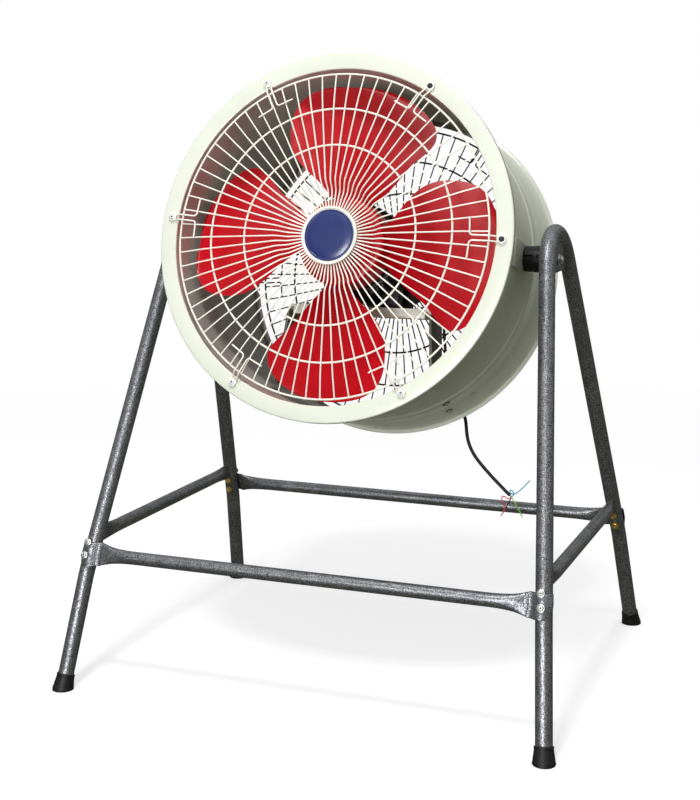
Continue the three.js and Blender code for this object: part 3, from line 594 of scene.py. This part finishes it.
def add_gusset(side, sx):
    centre_z = APEX.z - BEND_RADIUS / math.sin(math.atan(SPLAY_Y))
    outline = [
        (PLATE_HALF_WIDTH * math.cos(a), max(centre_z + PLATE_RISE * math.sin(a), PLATE_LOW))
        for a in [math.pi * k / 32 for k in range(33)]
    ]
    place = Matrix(((0, 0, sx, 0), (1, 0, 0, 0), (0, 1, 0, 0), (0, 0, 0, 1)))
    shape = Shape(prism(outline, PLATE_INNER, PLATE_OUTER, 0.6, place))
    # A weld runs round the plate's edge, along the inside of the bend.
    radius = BEND_RADIUS - LEG_RADIUS + 0.5
    weld = [
        Vector((sx * PLATE_OUTER, radius * math.cos(a), centre_z + radius * math.sin(a)))
        for a in [math.pi * (0.03 + 0.94 * k / 60) for k in range(61)]
    ]
    shape.add(sweep(weld, [2.2 + 0.5 * math.sin(2.4 * k) for k in range(61)], 8))
    stand_piece(f"gusset_{side}", shape, [f"pivot_plate_{side}"])


# Rows of a crossbar's end: distance out from the leg, height, thickness, share of the leg's slope,
# and how far it stands in front of the bar's own line.
SADDLE_ROWS = [
    (-110, 25, 25, 0, 0), (-96, 25, 25, 0, 0), (-74, 26, 23.5, 0.1, 0), (-52, 29, 18.5, 0.4, 0),
    (-40, 32.5, 13.5, 0.7, 0), (-32, 35.5, 9.6, 0.95, 0), (-28.5, 37, 8.8, 1, 0),
    (-25.5, 39, 7.4, 1, 0), (-23, 41, 5, 1, 0.1), (-17, 41.5, 5, 1, 0.9), (-12, 41.5, 5, 1, 4.2),
    (-6, 41.5, 5, 1, 7.7), (0, 41.5, 5, 1, 8.9), (6, 41.5, 5, 1, 7.7), (12, 41.5, 5, 1, 4.2),
    (16, 41.2, 5, 1, 0.4), (17.6, 40.5, 3.8, 1, -1.6),
]
# Rows of a side bar's end: distance from the legs' inner face, height, thickness.
SIDE_BAR_ROWS = [
    (-8, 33, 8), (4, 33.5, 8.4), (16, 33, 11), (32, 30, 17), (50, 26.6, 22.5), (68, 25, 25),
    (84, 25, 25),
]


def add_crossbar(end, sy):
    sides = 48
    leg_x = leg_point(CROSSBAR_Z).x
    # A Vector holds four numbers at most, so the fifth column is smoothed on its own.
    rows = smooth_path([r[:4] for r in SADDLE_ROWS], 3)
    proud = smooth_path([(r[4], 0) for r in SADDLE_ROWS], 3)
    rows = [(*row, forward.x) for row, forward in zip(rows, proud)]
    full = [(-(leg_x + r[0]), *r[1:]) for r in reversed(rows)]
    full += [(leg_x + r[0], *r[1:]) for r in rows]
    verts = []
    for x, high, thick, follow, forward in full:
        # The section goes from a circle (power 1) to a flat oblong as the tube is pressed.
        flat = 1 - (thick - SADDLE_THICKNESS) / (2 * BAR_RADIUS - SADDLE_THICKNESS)
        power = max(0.3, 1 - 0.65 * flat)
        for k in range(sides):
            c, s = on_circle(1, TAU * k / sides)
            up = high / 2 * math.copysign(abs(s) ** power, s)
            out = thick / 2 * math.copysign(abs(c) ** power, c) + forward
            y = sy * (-CROSSBAR_Y - out + SPLAY_Y * up * follow)
            lean = math.copysign(SPLAY_X * up * follow, x)
            verts.append(Vector((x - lean, y, CROSSBAR_Z + up)))
    shape = Shape((verts, tube_faces(len(full), sides)))
    stand_piece(f"bar_{end}", shape, [f"crossbar_{end}"])


def add_side_bar(side, sx):
    sides = 36
    leg = leg_point(SIDE_BAR_Z)
    reach = -leg.y - LEG_RADIUS
    half = smooth_path([(from_leg - reach, *size) for from_leg, *size in SIDE_BAR_ROWS], 4)
    rows = [*half, *[Vector((-y, high, thick)) for y, high, thick in reversed(half)]]
    verts = []
    for y, high, thick in rows:
        for k in range(sides):
            c, s = on_circle(1, TAU * k / sides)
            x = sx * (leg.x + thick / 2 * c)
            verts.append(Vector((x, y, SIDE_BAR_Z + high / 2 * s)))
    shape = Shape((verts, tube_faces(len(rows), sides)))
    stand_piece(f"bar_{side}", shape, [f"side_bar_{side}"])


def add_foot(end, side, sy, sx):
    profile = [
        (0, -12), (18, -12), (19.8, -11), (20.4, 1), (20, 4), (19.3, 5.4), (19.1, 7), (19.2, 8.4),
        (18.6, 12), (17.6, 19), (16.9, 24.6), (17.2, 25.6), (17.3, 27.8), (16.9, 29.3),
        (16.2, 29.8), (15.5, 29.7), (15.1, 28.8), (15.1, 20), (0, 20),
    ]
    verts, faces = turn(profile, 40, along(FOOT, FOOT_UP))
    # The cap is cut flat where it stands.
    flat = [v if v.z > 0 else v + FOOT_UP * (-v.z / FOOT_UP.z) for v in verts]
    shape = Shape(([mirrored(v, sx, sy) for v in flat], faces))
    mesh_object(
        f"cap_{end}_{side}", shape, M["rubber"], "stand", [f"foot_{end}_{side}"]
    )


def screw_head(place, washer, head, height):
    """A pan head, a dark cross for its recess as painted shade, and its washer (materials 0, 1 and
    2), from the seat up.
    """
    low, top = 1.2, 1.2 + height
    flat = [
        (0, 0), (washer - 0.3, 0), (washer, 0.3), (washer, 1), (washer - 0.5, 1.3), (0, 1.3),
    ]
    pan = [
        (0, low), (head, low), (head, low + height * 0.35), (head * 0.86, low + height * 0.78),
        (head * 0.6, top), (head * 0.42, top), (0, height * 0.9),
    ]
    shape = Shape().add(turn(flat, 32, place), 2).add(turn(pan, 32, place))
    # The recess is not cut: a dark cross stands in the head's dip, painted shade.
    arm, slot = head * 0.52, head * 0.13
    for a, b in ((arm, slot), (slot, arm)):
        shape.add(rounded_box((-a, -b, top - 0.9), (a, b, top + 0.06), 0.12, place), 1)
    return shape


def add_saddle_bolts(end, side, sy, sx):
    leg_axis = (APEX - leg_point(CLAMP_Z)).normalized()
    for which, k in (("lower", -0.5), ("upper", 0.5)):
        centre = mirrored(leg_point(CLAMP_Z) + leg_axis * BOLT_SPACING * k, sx, sy)
        axis = mirrored(BOLT_AXIS, sx, sy)
        front_seat, back_seat = 26, 15.8
        shape = screw_head(along(centre + axis * front_seat, axis), 7, 5.2, 3)
        back = along(centre - axis * back_seat, -axis)
        shape.add(cylinder(7, 0, 1.1, 28, back), 3)
        shape.add(hexagon(6, 5.2, back @ Matrix.Translation((0, 0, 1))), 3)
        shape.add(turn([(0, 0), (2.9, 0), (2.9, 8.4), (2.3, 9), (0, 9)], 16, back), 3)
        where = f"{end}_{side}_{which}"
        metals = [M["zinc"], M["dark"], M["zinc"], M["brass"]]
        replaced = [f"saddle_bolt_{where}"]
        mesh_object(f"screw_{where}", shape, metals, "stand", replaced)


for side, sx in SIDES.items():
    add_hairpin(side, sx)
    add_gusset(side, sx)
    add_side_bar(side, sx)
for end, sy in ENDS.items():
    add_crossbar(end, sy)
    for side, sx in SIDES.items():
        add_foot(end, side, sy, sx)
        add_saddle_bolts(end, side, sy, sx)

# ---- drum ----
FRONT, REAR = 193.4, -209.5
DRUM_RADIUS, SHEET = 315.8, 2
FLARE_START, FLARE_LENGTH, FLARE_RISE = -150, 54, 12.2
CLIP_ANGLES = [0, 58.5, 118, 175, 239.5, 300.5]
CLIP_CIRCLE = 325.5
SPACER_START, SPACER_END, SPACER_RADIUS = 320.3, 378.7, 24
SPLIT_HALF_WIDTH, SPLIT_DEPTH = 2.6, 2.8


def add_drum():
    flare = [
        (DRUM_RADIUS + FLARE_RISE * t**1.25, FLARE_START - FLARE_LENGTH * t)
        for t in [k / 10 for k in range(11)]
    ]
    outside = [
        (313.8, 190), (313.9, 192.2), (314.7, 193.1), (316.2, 193.4), (342.4, 193.4),
        (344.4, 193), (345.3, 192.1), (345.5, 190.4), (345.5, 181), (345.2, 180.3),
        (344.4, 180.1), (343.5, 180.4), (343.3, 181.2), (343.3, 190), (342.5, 191),
        (317.4, 191.1), (316.1, 190.4), (315.8, 189),
        (315.8, -66), (316.3, -67.8), (317.6, -69.6), (318.7, -72.6), (319, -76), (318.7, -79.4),
        (317.6, -82.4), (316.3, -84.2), (315.8, -86), *flare, (328.6, -205.2), (329.8, -206),
        (334.4, -206.2), (335.3, -206.9), (335.5, -208.1), (335, -209.1), (334, -209.5),
        (315.4, -209.5), (314.2, -209.2), (313.8, -208.3),
    ]
    inside = [
        (314.2, -207.5), (315.2, -207.1), (325, -207.1), (325.8, -206),
        *[(r - SHEET, z) for r, z in reversed(flare)],
    ]
    segments = 200
    shape = Shape(turn(outside + inside, segments))
    # The faces after the rear rim's inner edge take the darker inside material, painted shade.
    first_inside = (len(outside) - 1) * segments
    shape.numbers = [int(i >= first_inside) for i in range(len(shape.faces))]
    head_piece("drum", shape, [M["drum"], M["inside_shade"]], ["drum_shell"])
    # The rolled sheet is joined by one weld along its underside.
    seam = [polar(DRUM_RADIUS - 0.1, -96, z) for z in range(-145, 190, 5)]
    wobble = [1.5 + 0.35 * math.sin(1.9 * k) for k in range(len(seam))]
    head_piece("drum_weld", Shape(sweep(seam, wobble, 8)), M["drum"])


def add_drum_screws():
    spots = [(-60, 315.7, -107), (-62.5, 318.3, -167), (-120, 315.7, -107), (-117.5, 318.3, -167)]
    for i, (degrees, radius, z) in enumerate(spots):
        out = polar(1, degrees, 0)
        shape = screw_head(along(out * radius + Vector((0, 0, z)), out), 7.5, 5.5, 2.4)
        head_piece(f"drum_screw_{i + 1}", shape, [M["zinc"], M["dark"], M["dark"]])


def add_pivot(side, sx):
    across = Vector((sx, 0, 0))
    outline = []
    for k in range(120):
        angle = TAU * k / 120
        in_split = abs(SPACER_RADIUS * math.sin(angle)) < SPLIT_HALF_WIDTH
        radius = SPACER_RADIUS - (SPLIT_DEPTH if in_split else 0)
        outline.append(on_circle(radius, angle))
    place = along(across * SPACER_START, across)
    shape = Shape(prism(outline, 0, SPACER_END - SPACER_START, 0.8, place))
    band = [(20, 19), (24.7, 19), (24.9, 21), (24.9, 24), (24.7, 26), (20, 26)]
    shape.add(turn(band, 60, place))
    head_piece(f"spacer_{side}", shape, M["spacer"], [f"pivot_spacer_{side}"])
    start = along(across * (PLATE_OUTER + 0.3), across)
    washer = [(0, 0), (10.6, 0), (11, 0.4), (11, 1.5), (10.6, 1.9), (0, 1.9)]
    bolt = Shape(turn(washer, 40, start))
    bolt.add(hexagon(8.2, 5.2, start @ Matrix.Translation((0, 0, 1.8))))
    thread = [(0, 0)]
    for k in range(3):
        thread += [(4.9, 5.5 + k), (4.3, 6 + k)]
    thread += [(4, 8.8), (0, 8.8)]
    bolt.add(turn(thread, 24, start))
    # The bolt's head and shank, from the inside of the drum.
    inner = along(across * (DRUM_RADIUS - SHEET - 1.2), -across)
    bolt.add(hexagon(9.6, 6.4, inner))
    bolt.add(cylinder(6, -66, 0, 24, inner))
    head_piece(f"pivot_stud_{side}", bolt, M["zinc"], [f"pivot_bolt_{side}"])


add_drum()
add_drum_screws()
for side, sx in SIDES.items():
    add_pivot(side, sx)
    pad = frame["nodes"][f"pivot_pad_{side}"].data
    pad.materials.clear()
    pad.materials.append(M["drum"])

# ---- guards ----
# Radius and height above the seat, for the rings and for the outer part of every spoke.
RINGS = [(167.8, 7.4), (235.9, 7.4), (302.4, 4)]
SPOKE_END = [(240, 10.7), (258, 10.3), (285, 7.6), (302.6, 5.4)]
SPOKES, SPOKE_PHASE = 68, 2.5
RING_WIRE, SPOKE_WIRE, CLIP_WIRE, HUB_WIRE = 1.9, 1.4, 1.55, 2.1
EYE_RADIUS = 6.3


def ring(radius, z, wire, sides=10, segments=180):
    return sweep([polar(radius, 360 * k / segments, z) for k in range(segments)], wire, sides, True)


def guard_shape(seat, outwards, inner):
    """Wires above a seat, outwards along the axis. inner lists (radius, height) near the middle."""
    shape = Shape()
    for radius, height in RINGS:
        shape.add(ring(radius, seat + outwards * height, RING_WIRE))
    for k in range(SPOKES):
        degrees = SPOKE_PHASE + 360 * k / SPOKES
        path = [polar(r, degrees, seat + outwards * h) for r, h in [*inner, *SPOKE_END]]
        shape.add(sweep(path, SPOKE_WIRE, 8))
    return shape


def clip_path(degrees, seat, outwards):
    """A bent wire: an eye round the screw, two legs over the outer ring, two arms on the spokes."""
    high, low = 13.8, 1.9
    half = rounded_path(
        [
            ((267.5, 37, high), 0, 0),
            ((269.5, 4.8, high), 6, 6),
            ((305.5, 4.8, high - 2.4), 7, 4),
            ((317.5, 4.8, low), 5, 3),
            ((321.6, 4.9, low), 0, 0),
        ]
    )
    eye = [
        Vector((CLIP_CIRCLE + EYE_RADIUS * math.cos(a), EYE_RADIUS * math.sin(a), low))
        for a in [math.radians(120 - 20 * k) for k in range(13)]
    ]
    other = [Vector((p.x, -p.y, p.z)) for p in reversed(half)]
    along_r, along_t = polar(1, degrees, 0), polar(1, degrees + 90, 0)
    return [
        along_r * p.x + along_t * p.y + Vector((0, 0, seat + outwards * p.z))
        for p in [*half, *eye, *other]
    ]


def add_guards():
    front_inner = [
        (50, -2.6), (82, -2.2), (86, -1.2), (90, 1.2), (94.5, 4.5), (99, 7.6), (103, 9.6),
        (108, 10.7), (160, 10.7),
    ]
    front = guard_shape(FRONT, 1, front_inner)
    front.add(ring(50.5, FRONT - 5.6, HUB_WIRE, 10, 80))
    head_piece("guard_front_wires", front, M["wire"], ["front_guard"])
    # Painted shade: the rear guard is drawn black for the shade it stands in.
    rear = guard_shape(REAR, -1, [(60, 10.7), (160, 10.7)])
    rear.add(ring(61, REAR - 7.4, HUB_WIRE, 10, 80))
    head_piece("guard_rear_wires", rear, M["black_wire"], ["rear_guard"])
    for i, degrees in enumerate(CLIP_ANGLES):
        number = i + 1
        clip = Shape(sweep(clip_path(degrees, FRONT, 1), CLIP_WIRE, 10))
        head_piece(f"clip_front_{number}", clip, M["wire"], [f"guard_clip_{number}"])
        place = along(polar(CLIP_CIRCLE, degrees, FRONT + 3.4), (0, 0, 1))
        head = screw_head(place, 8, 5.2, 2.4)
        nut = along(polar(CLIP_CIRCLE, degrees, FRONT - 2.3), (0, 0, -1))
        head.add(hexagon(5, 4, nut))
        head.add(cylinder(2.5, -5, 7, 14, nut))
        # Two of the six screws are darker than the others.
        metal = M["dark"] if i < 2 else M["white_screw"]
        metals = [metal, M["dark"], M["white_screw"]]
        head_piece(f"screw_front_{number}", head, metals, [f"clip_screw_{number}"])
        # Painted shade: the rear clips are black like the rear guard.
        clip = Shape(sweep(clip_path(-degrees, REAR, -1), CLIP_WIRE, 10))
        head_piece(f"clip_rear_{number}", clip, M["black_wire"])
        place = along(polar(CLIP_CIRCLE, -degrees, REAR - 3.4), (0, 0, -1))
        head = screw_head(place, 7.4, 5.2, 2.4)
        metals = [M["zinc"], M["dark"], M["zinc"]]
        head_piece(f"screw_rear_{number}", head, metals)


def add_badge():
    plate = [
        (0, 192.4), (51, 192.4), (54, 193), (54.6, 194.2), (54.6, 196), (53.8, 197.2), (52, 197.5),
        (50.4, 197), (49.4, 195.9), (48.9, 195.5), (0, 195.5),
    ]
    shape = Shape(turn(plate, 96))
    head_piece("guard_disc", shape, M["wire"], ["guard_centre_plate"])
    disc = [
        (0, 195.4), (47.6, 195.4), (48, 195.8), (48, 196.5), (47.5, 197), (45.2, 197.2),
        (44.8, 196.9), (44.2, 196.8), (43.6, 197.1), (30, 197.7), (0, 198),
    ]
    head_piece("badge", Shape(turn(disc, 96)), M["badge"], ["guard_badge"])


add_guards()
add_badge()

# ---- impeller ----
# A blade's edges: radius, then both edges in degrees from its own centre line.
BLADE_ROWS = [
    (84, -19, 25), (110, -23, 30), (140, -25, 36), (165, -25.6, 39), (190, -26, 40),
    (220, -28, 38.5), (250, -28.4, 35), (270, -25.8, 32), (283, -21, 29.2), (291, -15.5, 26.3),
    (296, -10, 23.4), (299, -4, 20), (300.2, 3, 15.5),
]
FIRST_BLADE = 82
BLADE_MIDDLE, BLADE_CAMBER = 110, 7
BLADE_LEAD = 1.2  # forwards for each degree round the axis
BLADE_HALF = 1.3  # of its thickness


def blade_shape(centre):
    chord = 22
    rows = smooth_path(BLADE_ROWS, 4)
    sheets = []
    for side in (1, -1):
        sheet = []
        for r, low, high in rows:
            for k in range(chord + 1):
                share = k / chord
                degrees = low + (high - low) * share
                camber = BLADE_CAMBER * (1 - (2 * share - 1) ** 2) * (r / 300)
                # The sheet is thinner along its first and last row.
                half = BLADE_HALF * min(1, 0.45 + min(k, chord - k) / 1.5)
                z = BLADE_MIDDLE + BLADE_LEAD * degrees - camber + side * half
                sheet.append(polar(r, centre + degrees, z))
        sheets.append(sheet)
    wide, tall = chord + 1, len(rows)
    first = wide * tall
    faces = []
    for i in range(tall - 1):
        for k in range(chord):
            a = i * wide + k
            faces.append((a, a + 1, a + wide + 1, a + wide))
            faces.append((first + a, first + a + wide, first + a + wide + 1, first + a + 1))
    rim = list(range(wide))
    rim += [i * wide + chord for i in range(1, tall)]
    rim += [(tall - 1) * wide + k for k in range(chord - 1, -1, -1)]
    rim += [i * wide for i in range(tall - 2, 0, -1)]
    for a, b in zip(rim, rim[1:] + rim[:1]):
        faces.append((a, b, first + b, first + a))
    return Shape((sheets[0] + sheets[1], faces))


def add_impeller():
    for i in range(4):
        shape = blade_shape(FIRST_BLADE + 90 * i)
        name, replaced = f"blade_{i + 1}", [f"impeller_blade_{i + 1}"]
        impeller_piece(name, shape, M["red"], replaced, sharp=50)
    hub = [
        (10.4, 80.3), (24, 80.3), (24, 125), (26, 126), (78, 124), (81, 122), (81, 81),
        (81.5, 80.3), (84.4, 80.3), (85, 81), (85, 127), (84.2, 131.5), (82, 134), (78.5, 135.2),
        (60, 136.8), (58.5, 136.4), (57, 136.9), (40, 138), (11, 138), (10.4, 137.4),
    ]
    shape = Shape(turn(hub, 96))
    for k in range(8):
        place = along(polar(69, 22.5 + 45 * k, 135.6), (0, 0, 1))
        shape.add(turn([(0, 0), (4.6, 0), (4.3, 1.6), (2.6, 2.6), (0, 2.9)], 20, place))
    impeller_piece("hub", shape, M["red"], ["impeller_hub"])
    washer = [(0, 138.3), (21.6, 138.3), (22, 138.7), (22, 141.2), (21.6, 141.5), (0, 141.5)]
    nut = Shape(turn(washer, 48))
    nut.add(hexagon(10.5, 8, along((0, 0, 141.2), (0, 0, 1))))
    impeller_piece("hub_screw", nut, M["zinc"], ["impeller_retainer"])
    shaft = [
        (0, -173), (9.5, -173), (10, -172), (10, -96), (52, -95), (52.5, -94), (52.5, 14), (52, 15),
        (10, 16), (10, 131), (9.4, 132), (0, 132),
    ]
    shape = Shape(turn(shaft, 48))
    impeller_piece("rotor", shape, M["steel"], ["motor_rotor"])


# ---- motor ----
CRADLE_TOP = -104
CRADLE_HALF = 2.5  # of the plate's thickness
# Across one fin: radius, and share of a fin's pitch from its middle.
FIN = ((84.5, -0.3), (91.6, -0.16), (92, 0), (91.6, 0.16), (84.5, 0.3))
FINS = 44


def add_motor():
    outline = [
        on_circle(radius, TAU * (i + offset) / FINS) for i in range(FINS) for radius, offset in FIN
    ]
    case = Shape(prism(outline, -125, 45, 0.6))
    # Each foot is a base with two uprights. Each box gives its rear, its front and its top.
    foot_low = CRADLE_TOP + 0.3
    for sign in (-1, 1):
        left, right = sorted((sign * 40, sign * 78))
        for rear, front, top in ((-95, -62, -60), (-24, 0, -60), (-95, 0, CRADLE_TOP + 10)):
            case.add(rounded_box((left, foot_low, rear), (right, top, front), 2.5))
        for z in (-78, -12):
            place = along((sign * 66, CRADLE_TOP + 9.6, z), (0, 1, 0))
            case.add(cylinder(8.6, 0, 1.6, 28, place), 1)
            case.add(hexagon(6.8, 6, place @ Matrix.Translation((0, 0, 1.5))), 1)
    # The terminal box, its lid and the lid's four screws.
    case.add(rounded_box((60, 10, -85), (118, 62, -15), 4))
    case.add(rounded_box((114, 8, -87), (122, 64, -13), 2.5))
    for y in (14, 58):
        for z in (-81, -19):
            place = along((121.8, y, z), (1, 0, 0))
            case.add(turn([(0, 0), (3, 0), (2.6, 1.6), (0, 2)], 16, place), 1)
    metals = [M["motor"], M["zinc"]]
    head_piece("motor_case", case, metals, ["motor_housing"])
    shield = [
        (27, 45.3), (84, 45.3), (86, 46.3), (86.4, 49), (85.6, 51), (80, 52.2), (60, 56.5),
        (46, 59), (39, 62.6), (35, 63), (14, 63), (13, 62.3), (13, 60.8), (27, 60.7),
    ]
    face = Shape(turn(shield, 72))
    for k in range(4):
        place = along(polar(74, 45 + 90 * k, 52.6), (0, 0, 1))
        face.add(turn([(0, 0), (5.4, 0), (5.4, 2.4), (4.6, 3.2), (0, 3.4)], 20, place), 1)
    head_piece("motor_shield", face, metals, ["motor_end_shield"])
    cowl = [
        (90, -125.3), (90, -176), (89, -180.5), (86.4, -183.6), (81, -187), (77, -188), (17, -188),
        (16, -187.2), (16, -186), (17, -185.5), (76, -185.5), (84, -182), (87, -178),
        (87.4, -125.3),
    ]
    cover = Shape(turn(cowl, 96))
    # The grille over the cover's air inlet.
    for k in range(5):
        cover.add(ring(24 + 12 * k, -188.2, 1.4, 8, 72))
    for k in range(12):
        degrees = 15 + 30 * k
        cover.add(sweep([polar(17, degrees, -188.4), polar(77, degrees, -188.4)], 1.4, 8))
    head_piece("motor_cowl", cover, M["motor"], ["motor_rear_cover"])
    for name, z in (("front", 45.4), ("rear", -123.6)):
        shape = Shape()
        # The outer race, the inner race, and the set-back shield between them.
        for inner, outer, inset in ((20.4, 26, 0), (10.4, 15.4, 0), (15.2, 20.6, 1.5)):
            low, high = z + inset, z + 15 - inset
            shape.add(turn([(inner, low), (outer, low), (outer, high), (inner, high)], 60))
        head_piece(f"bearing_{name}", shape, M["steel"], [f"motor_bearing_{name}"])


def cradle_path():
    """The middle of the plate under the motor and of its legs, as one bent strip in x and y."""
    foot, bend = Vector((159.2, -262, 0)), Vector((145.5, CRADLE_TOP - CRADLE_HALF, 0))
    left = [(mirrored(foot, -1, 1), 0, 0), (mirrored(bend, -1, 1), 9, 6)]
    return rounded_path([*left, (bend, 9, 6), (foot, 0, 0)])


def bent_sheet(middle, low, high):
    """A part of the cradle's sheet, along a path in x and y and from low to high in z."""
    edge = []
    for i, p in enumerate(middle):
        before, after = middle[max(i - 1, 0)], middle[min(i + 1, len(middle) - 1)]
        step = (after - before).normalized()
        edge.append((p, Vector((-step.y, step.x, 0)) * CRADLE_HALF))
    outline = [(p + n).xy[:] for p, n in edge] + [(p - n).xy[:] for p, n in reversed(edge)]
    return prism(outline, low, high, 0.8)


def add_cradle():
    middle = cradle_path()
    front, plate_rear, leg_rear = 8, -118, -62
    top = [p for p in middle if p.y > CRADLE_TOP - 16]
    shape = Shape(bent_sheet(top, plate_rear, front))
    # A lip folded down along the plate's front edge.
    shape.add(rounded_box((-136, CRADLE_TOP - 19, 5), (136, CRADLE_TOP - 0.5, 8.4), 1.4))
    for sign in (-1, 1):
        leg = [p for p in middle if p.x * sign > 144 and p.y < CRADLE_TOP - 8]
        leg.sort(key=lambda p: p.y)
        # Painted shade: the legs take the dark olive material (number 1) for the shade under the
        # plate.
        shape.add(bent_sheet(leg, leg_rear, front), 1)
        for z in (-104, -12):
            place = along((sign * 118, CRADLE_TOP, z), (0, 1, 0))
            shape.add(cylinder(8, 0, 1.4, 28, place), 2)
            shape.add(hexagon(6.4, 5, place @ Matrix.Translation((0, 0, 1.3))), 2)
    materials = [M["cradle"], M["strut_shade"], M["zinc"]]
    head_piece("cradle", shape, materials, ["motor_cradle"])


def add_gland():
    """The cable's gland in the rear rim, and the lead from it to the terminal box."""
    seat = polar(319.5, -62, REAR)
    place = along(seat, (0, 0, -1))
    body = Shape(hexagon(9, 8.4, place @ Matrix.Translation((0, 0, 0.3))))
    ribs = [(3.75, 8), (7.6, 8), (7.8, 9.5)]
    for k in range(11):
        radius = 7.5 - 0.24 * k
        ribs += [(radius, 11 + 2.1 * k), (radius - 0.7, 12 + 2.1 * k)]
    ribs += [(5, 34.6), (4.6, 35.5), (3.75, 35.5)]
    body.add(turn(ribs, 40, place))
    body.add(turn([(3.75, -5.5), (4.5, -5.5), (4.5, 1), (3.75, 1)], 30, place))
    head_piece("gland", body, M["gland"], ["cable_gland"])
    path = rounded_path(
        [
            (seat + Vector((0, 0, 5.8)), 0, 0),
            (seat + Vector((0, 4, 21)), 24, 8),
            ((135, -215, -172), 60, 8),
            ((120, -70, -146), 60, 8),
            ((95, 36, -128), 34, 12),
            ((95, 36, -85.3), 0, 0),
        ]
    )
    head_piece("lead", Shape(sweep(path, 3, 16)), M["cable"], ["motor_lead"])


add_impeller()
add_motor()
add_cradle()
add_gland()


# ---- stage ----
def add_floor():
    """A pale floor that fades into the white backdrop."""
    n = Nodes("studio_floor")
    distance = n.node("ShaderNodeVectorMath", operation="LENGTH")
    n.link(n.place, distance.inputs[0])
    far = n.spread(distance.outputs["Value"], 0, 1, 1.4, 3.6)
    n.link(n.mix(far, (0.56, 0.56, 0.57), (1.0, 1.0, 1.0)), n.shader.inputs["Emission Color"])
    n.bump((n.noise(120, 3), 0.02, 0.001))
    pale = n.mix(n.noise(1.5, 2), (0.50, 0.50, 0.50), (0.53, 0.53, 0.525))
    material = n.finish(
        n.mix(far, pale, (0, 0, 0)), Roughness=0.8, Specular_IOR_Level=0.0, Emission_Strength=1.0
    )
    half = 60
    mesh = bpy.data.meshes.new("floor")
    corners = [(-half, -half, 0), (half, -half, 0), (half, half, 0), (-half, half, 0)]
    mesh.from_pydata(corners, [], [(0, 1, 2, 3)])
    mesh.materials.append(material)
    floor = bpy.data.objects.new("floor", mesh)
    bpy.context.scene.collection.objects.link(floor)
    # The bright floor is only a backdrop: it doesn't light the object from below.
    floor.visible_diffuse = False
    floor.visible_glossy = False


def add_light(name, position, target, size, power):
    data = bpy.data.lights.new(name, "AREA")
    data.energy, data.size = power, size
    light = bpy.data.objects.new(name, data)
    direction = Vector(target) - Vector(position)
    rotation = direction.to_track_quat("-Z", "Y").to_matrix().to_4x4()
    light.matrix_world = Matrix.Translation(position) @ rotation
    bpy.context.scene.collection.objects.link(light)


def add_world():
    """White behind everything, and a dimmer dome that lights the object, brightest above."""
    world = bpy.data.worlds.new("studio")
    bpy.context.scene.world = world
    world.use_nodes = True
    new, link = world.node_tree.nodes.new, world.node_tree.links.new
    world.node_tree.nodes.clear()
    output = new("ShaderNodeOutputWorld")
    backdrop, dome = new("ShaderNodeBackground"), new("ShaderNodeBackground")
    backdrop.inputs["Color"].default_value = (1, 1, 1, 1)
    backdrop.inputs["Strength"].default_value = 1.0
    dome.inputs["Strength"].default_value = 0.8
    # The dome's colour runs from straight below (0) to straight above (1).
    place, split = new("ShaderNodeTexCoord"), new("ShaderNodeSeparateXYZ")
    height, ramp = new("ShaderNodeMapRange"), new("ShaderNodeValToRGB")
    height.inputs["From Min"].default_value = -1
    elements = ramp.color_ramp.elements
    elements[0].position, elements[0].color = 0.15, (0.15, 0.154, 0.11, 1)
    elements[1].position, elements[1].color = 0.95, (1, 1, 1, 1)
    elements.new(0.52).color = (0.17, 0.174, 0.14, 1)
    link(place.outputs["Generated"], split.inputs["Vector"])
    link(split.outputs["Z"], height.inputs["Value"])
    link(height.outputs["Result"], ramp.inputs["Fac"])
    link(ramp.outputs["Color"], dome.inputs["Color"])
    path, mix = new("ShaderNodeLightPath"), new("ShaderNodeMixShader")
    link(path.outputs["Is Camera Ray"], mix.inputs["Fac"])
    link(dome.outputs["Background"], mix.inputs[1])
    link(backdrop.outputs["Background"], mix.inputs[2])
    link(mix.outputs["Shader"], output.inputs["Surface"])


add_floor()
add_world()
add_light("front", (0.1, -4.4, 1.2), (0, 0, 0.7), 1.3, 116)
add_light("overhead", (0.2, -2.0, 4.5), (0, 0, 0.6), 0.6, 92)
bpy.context.scene.view_settings.view_transform = "Standard"
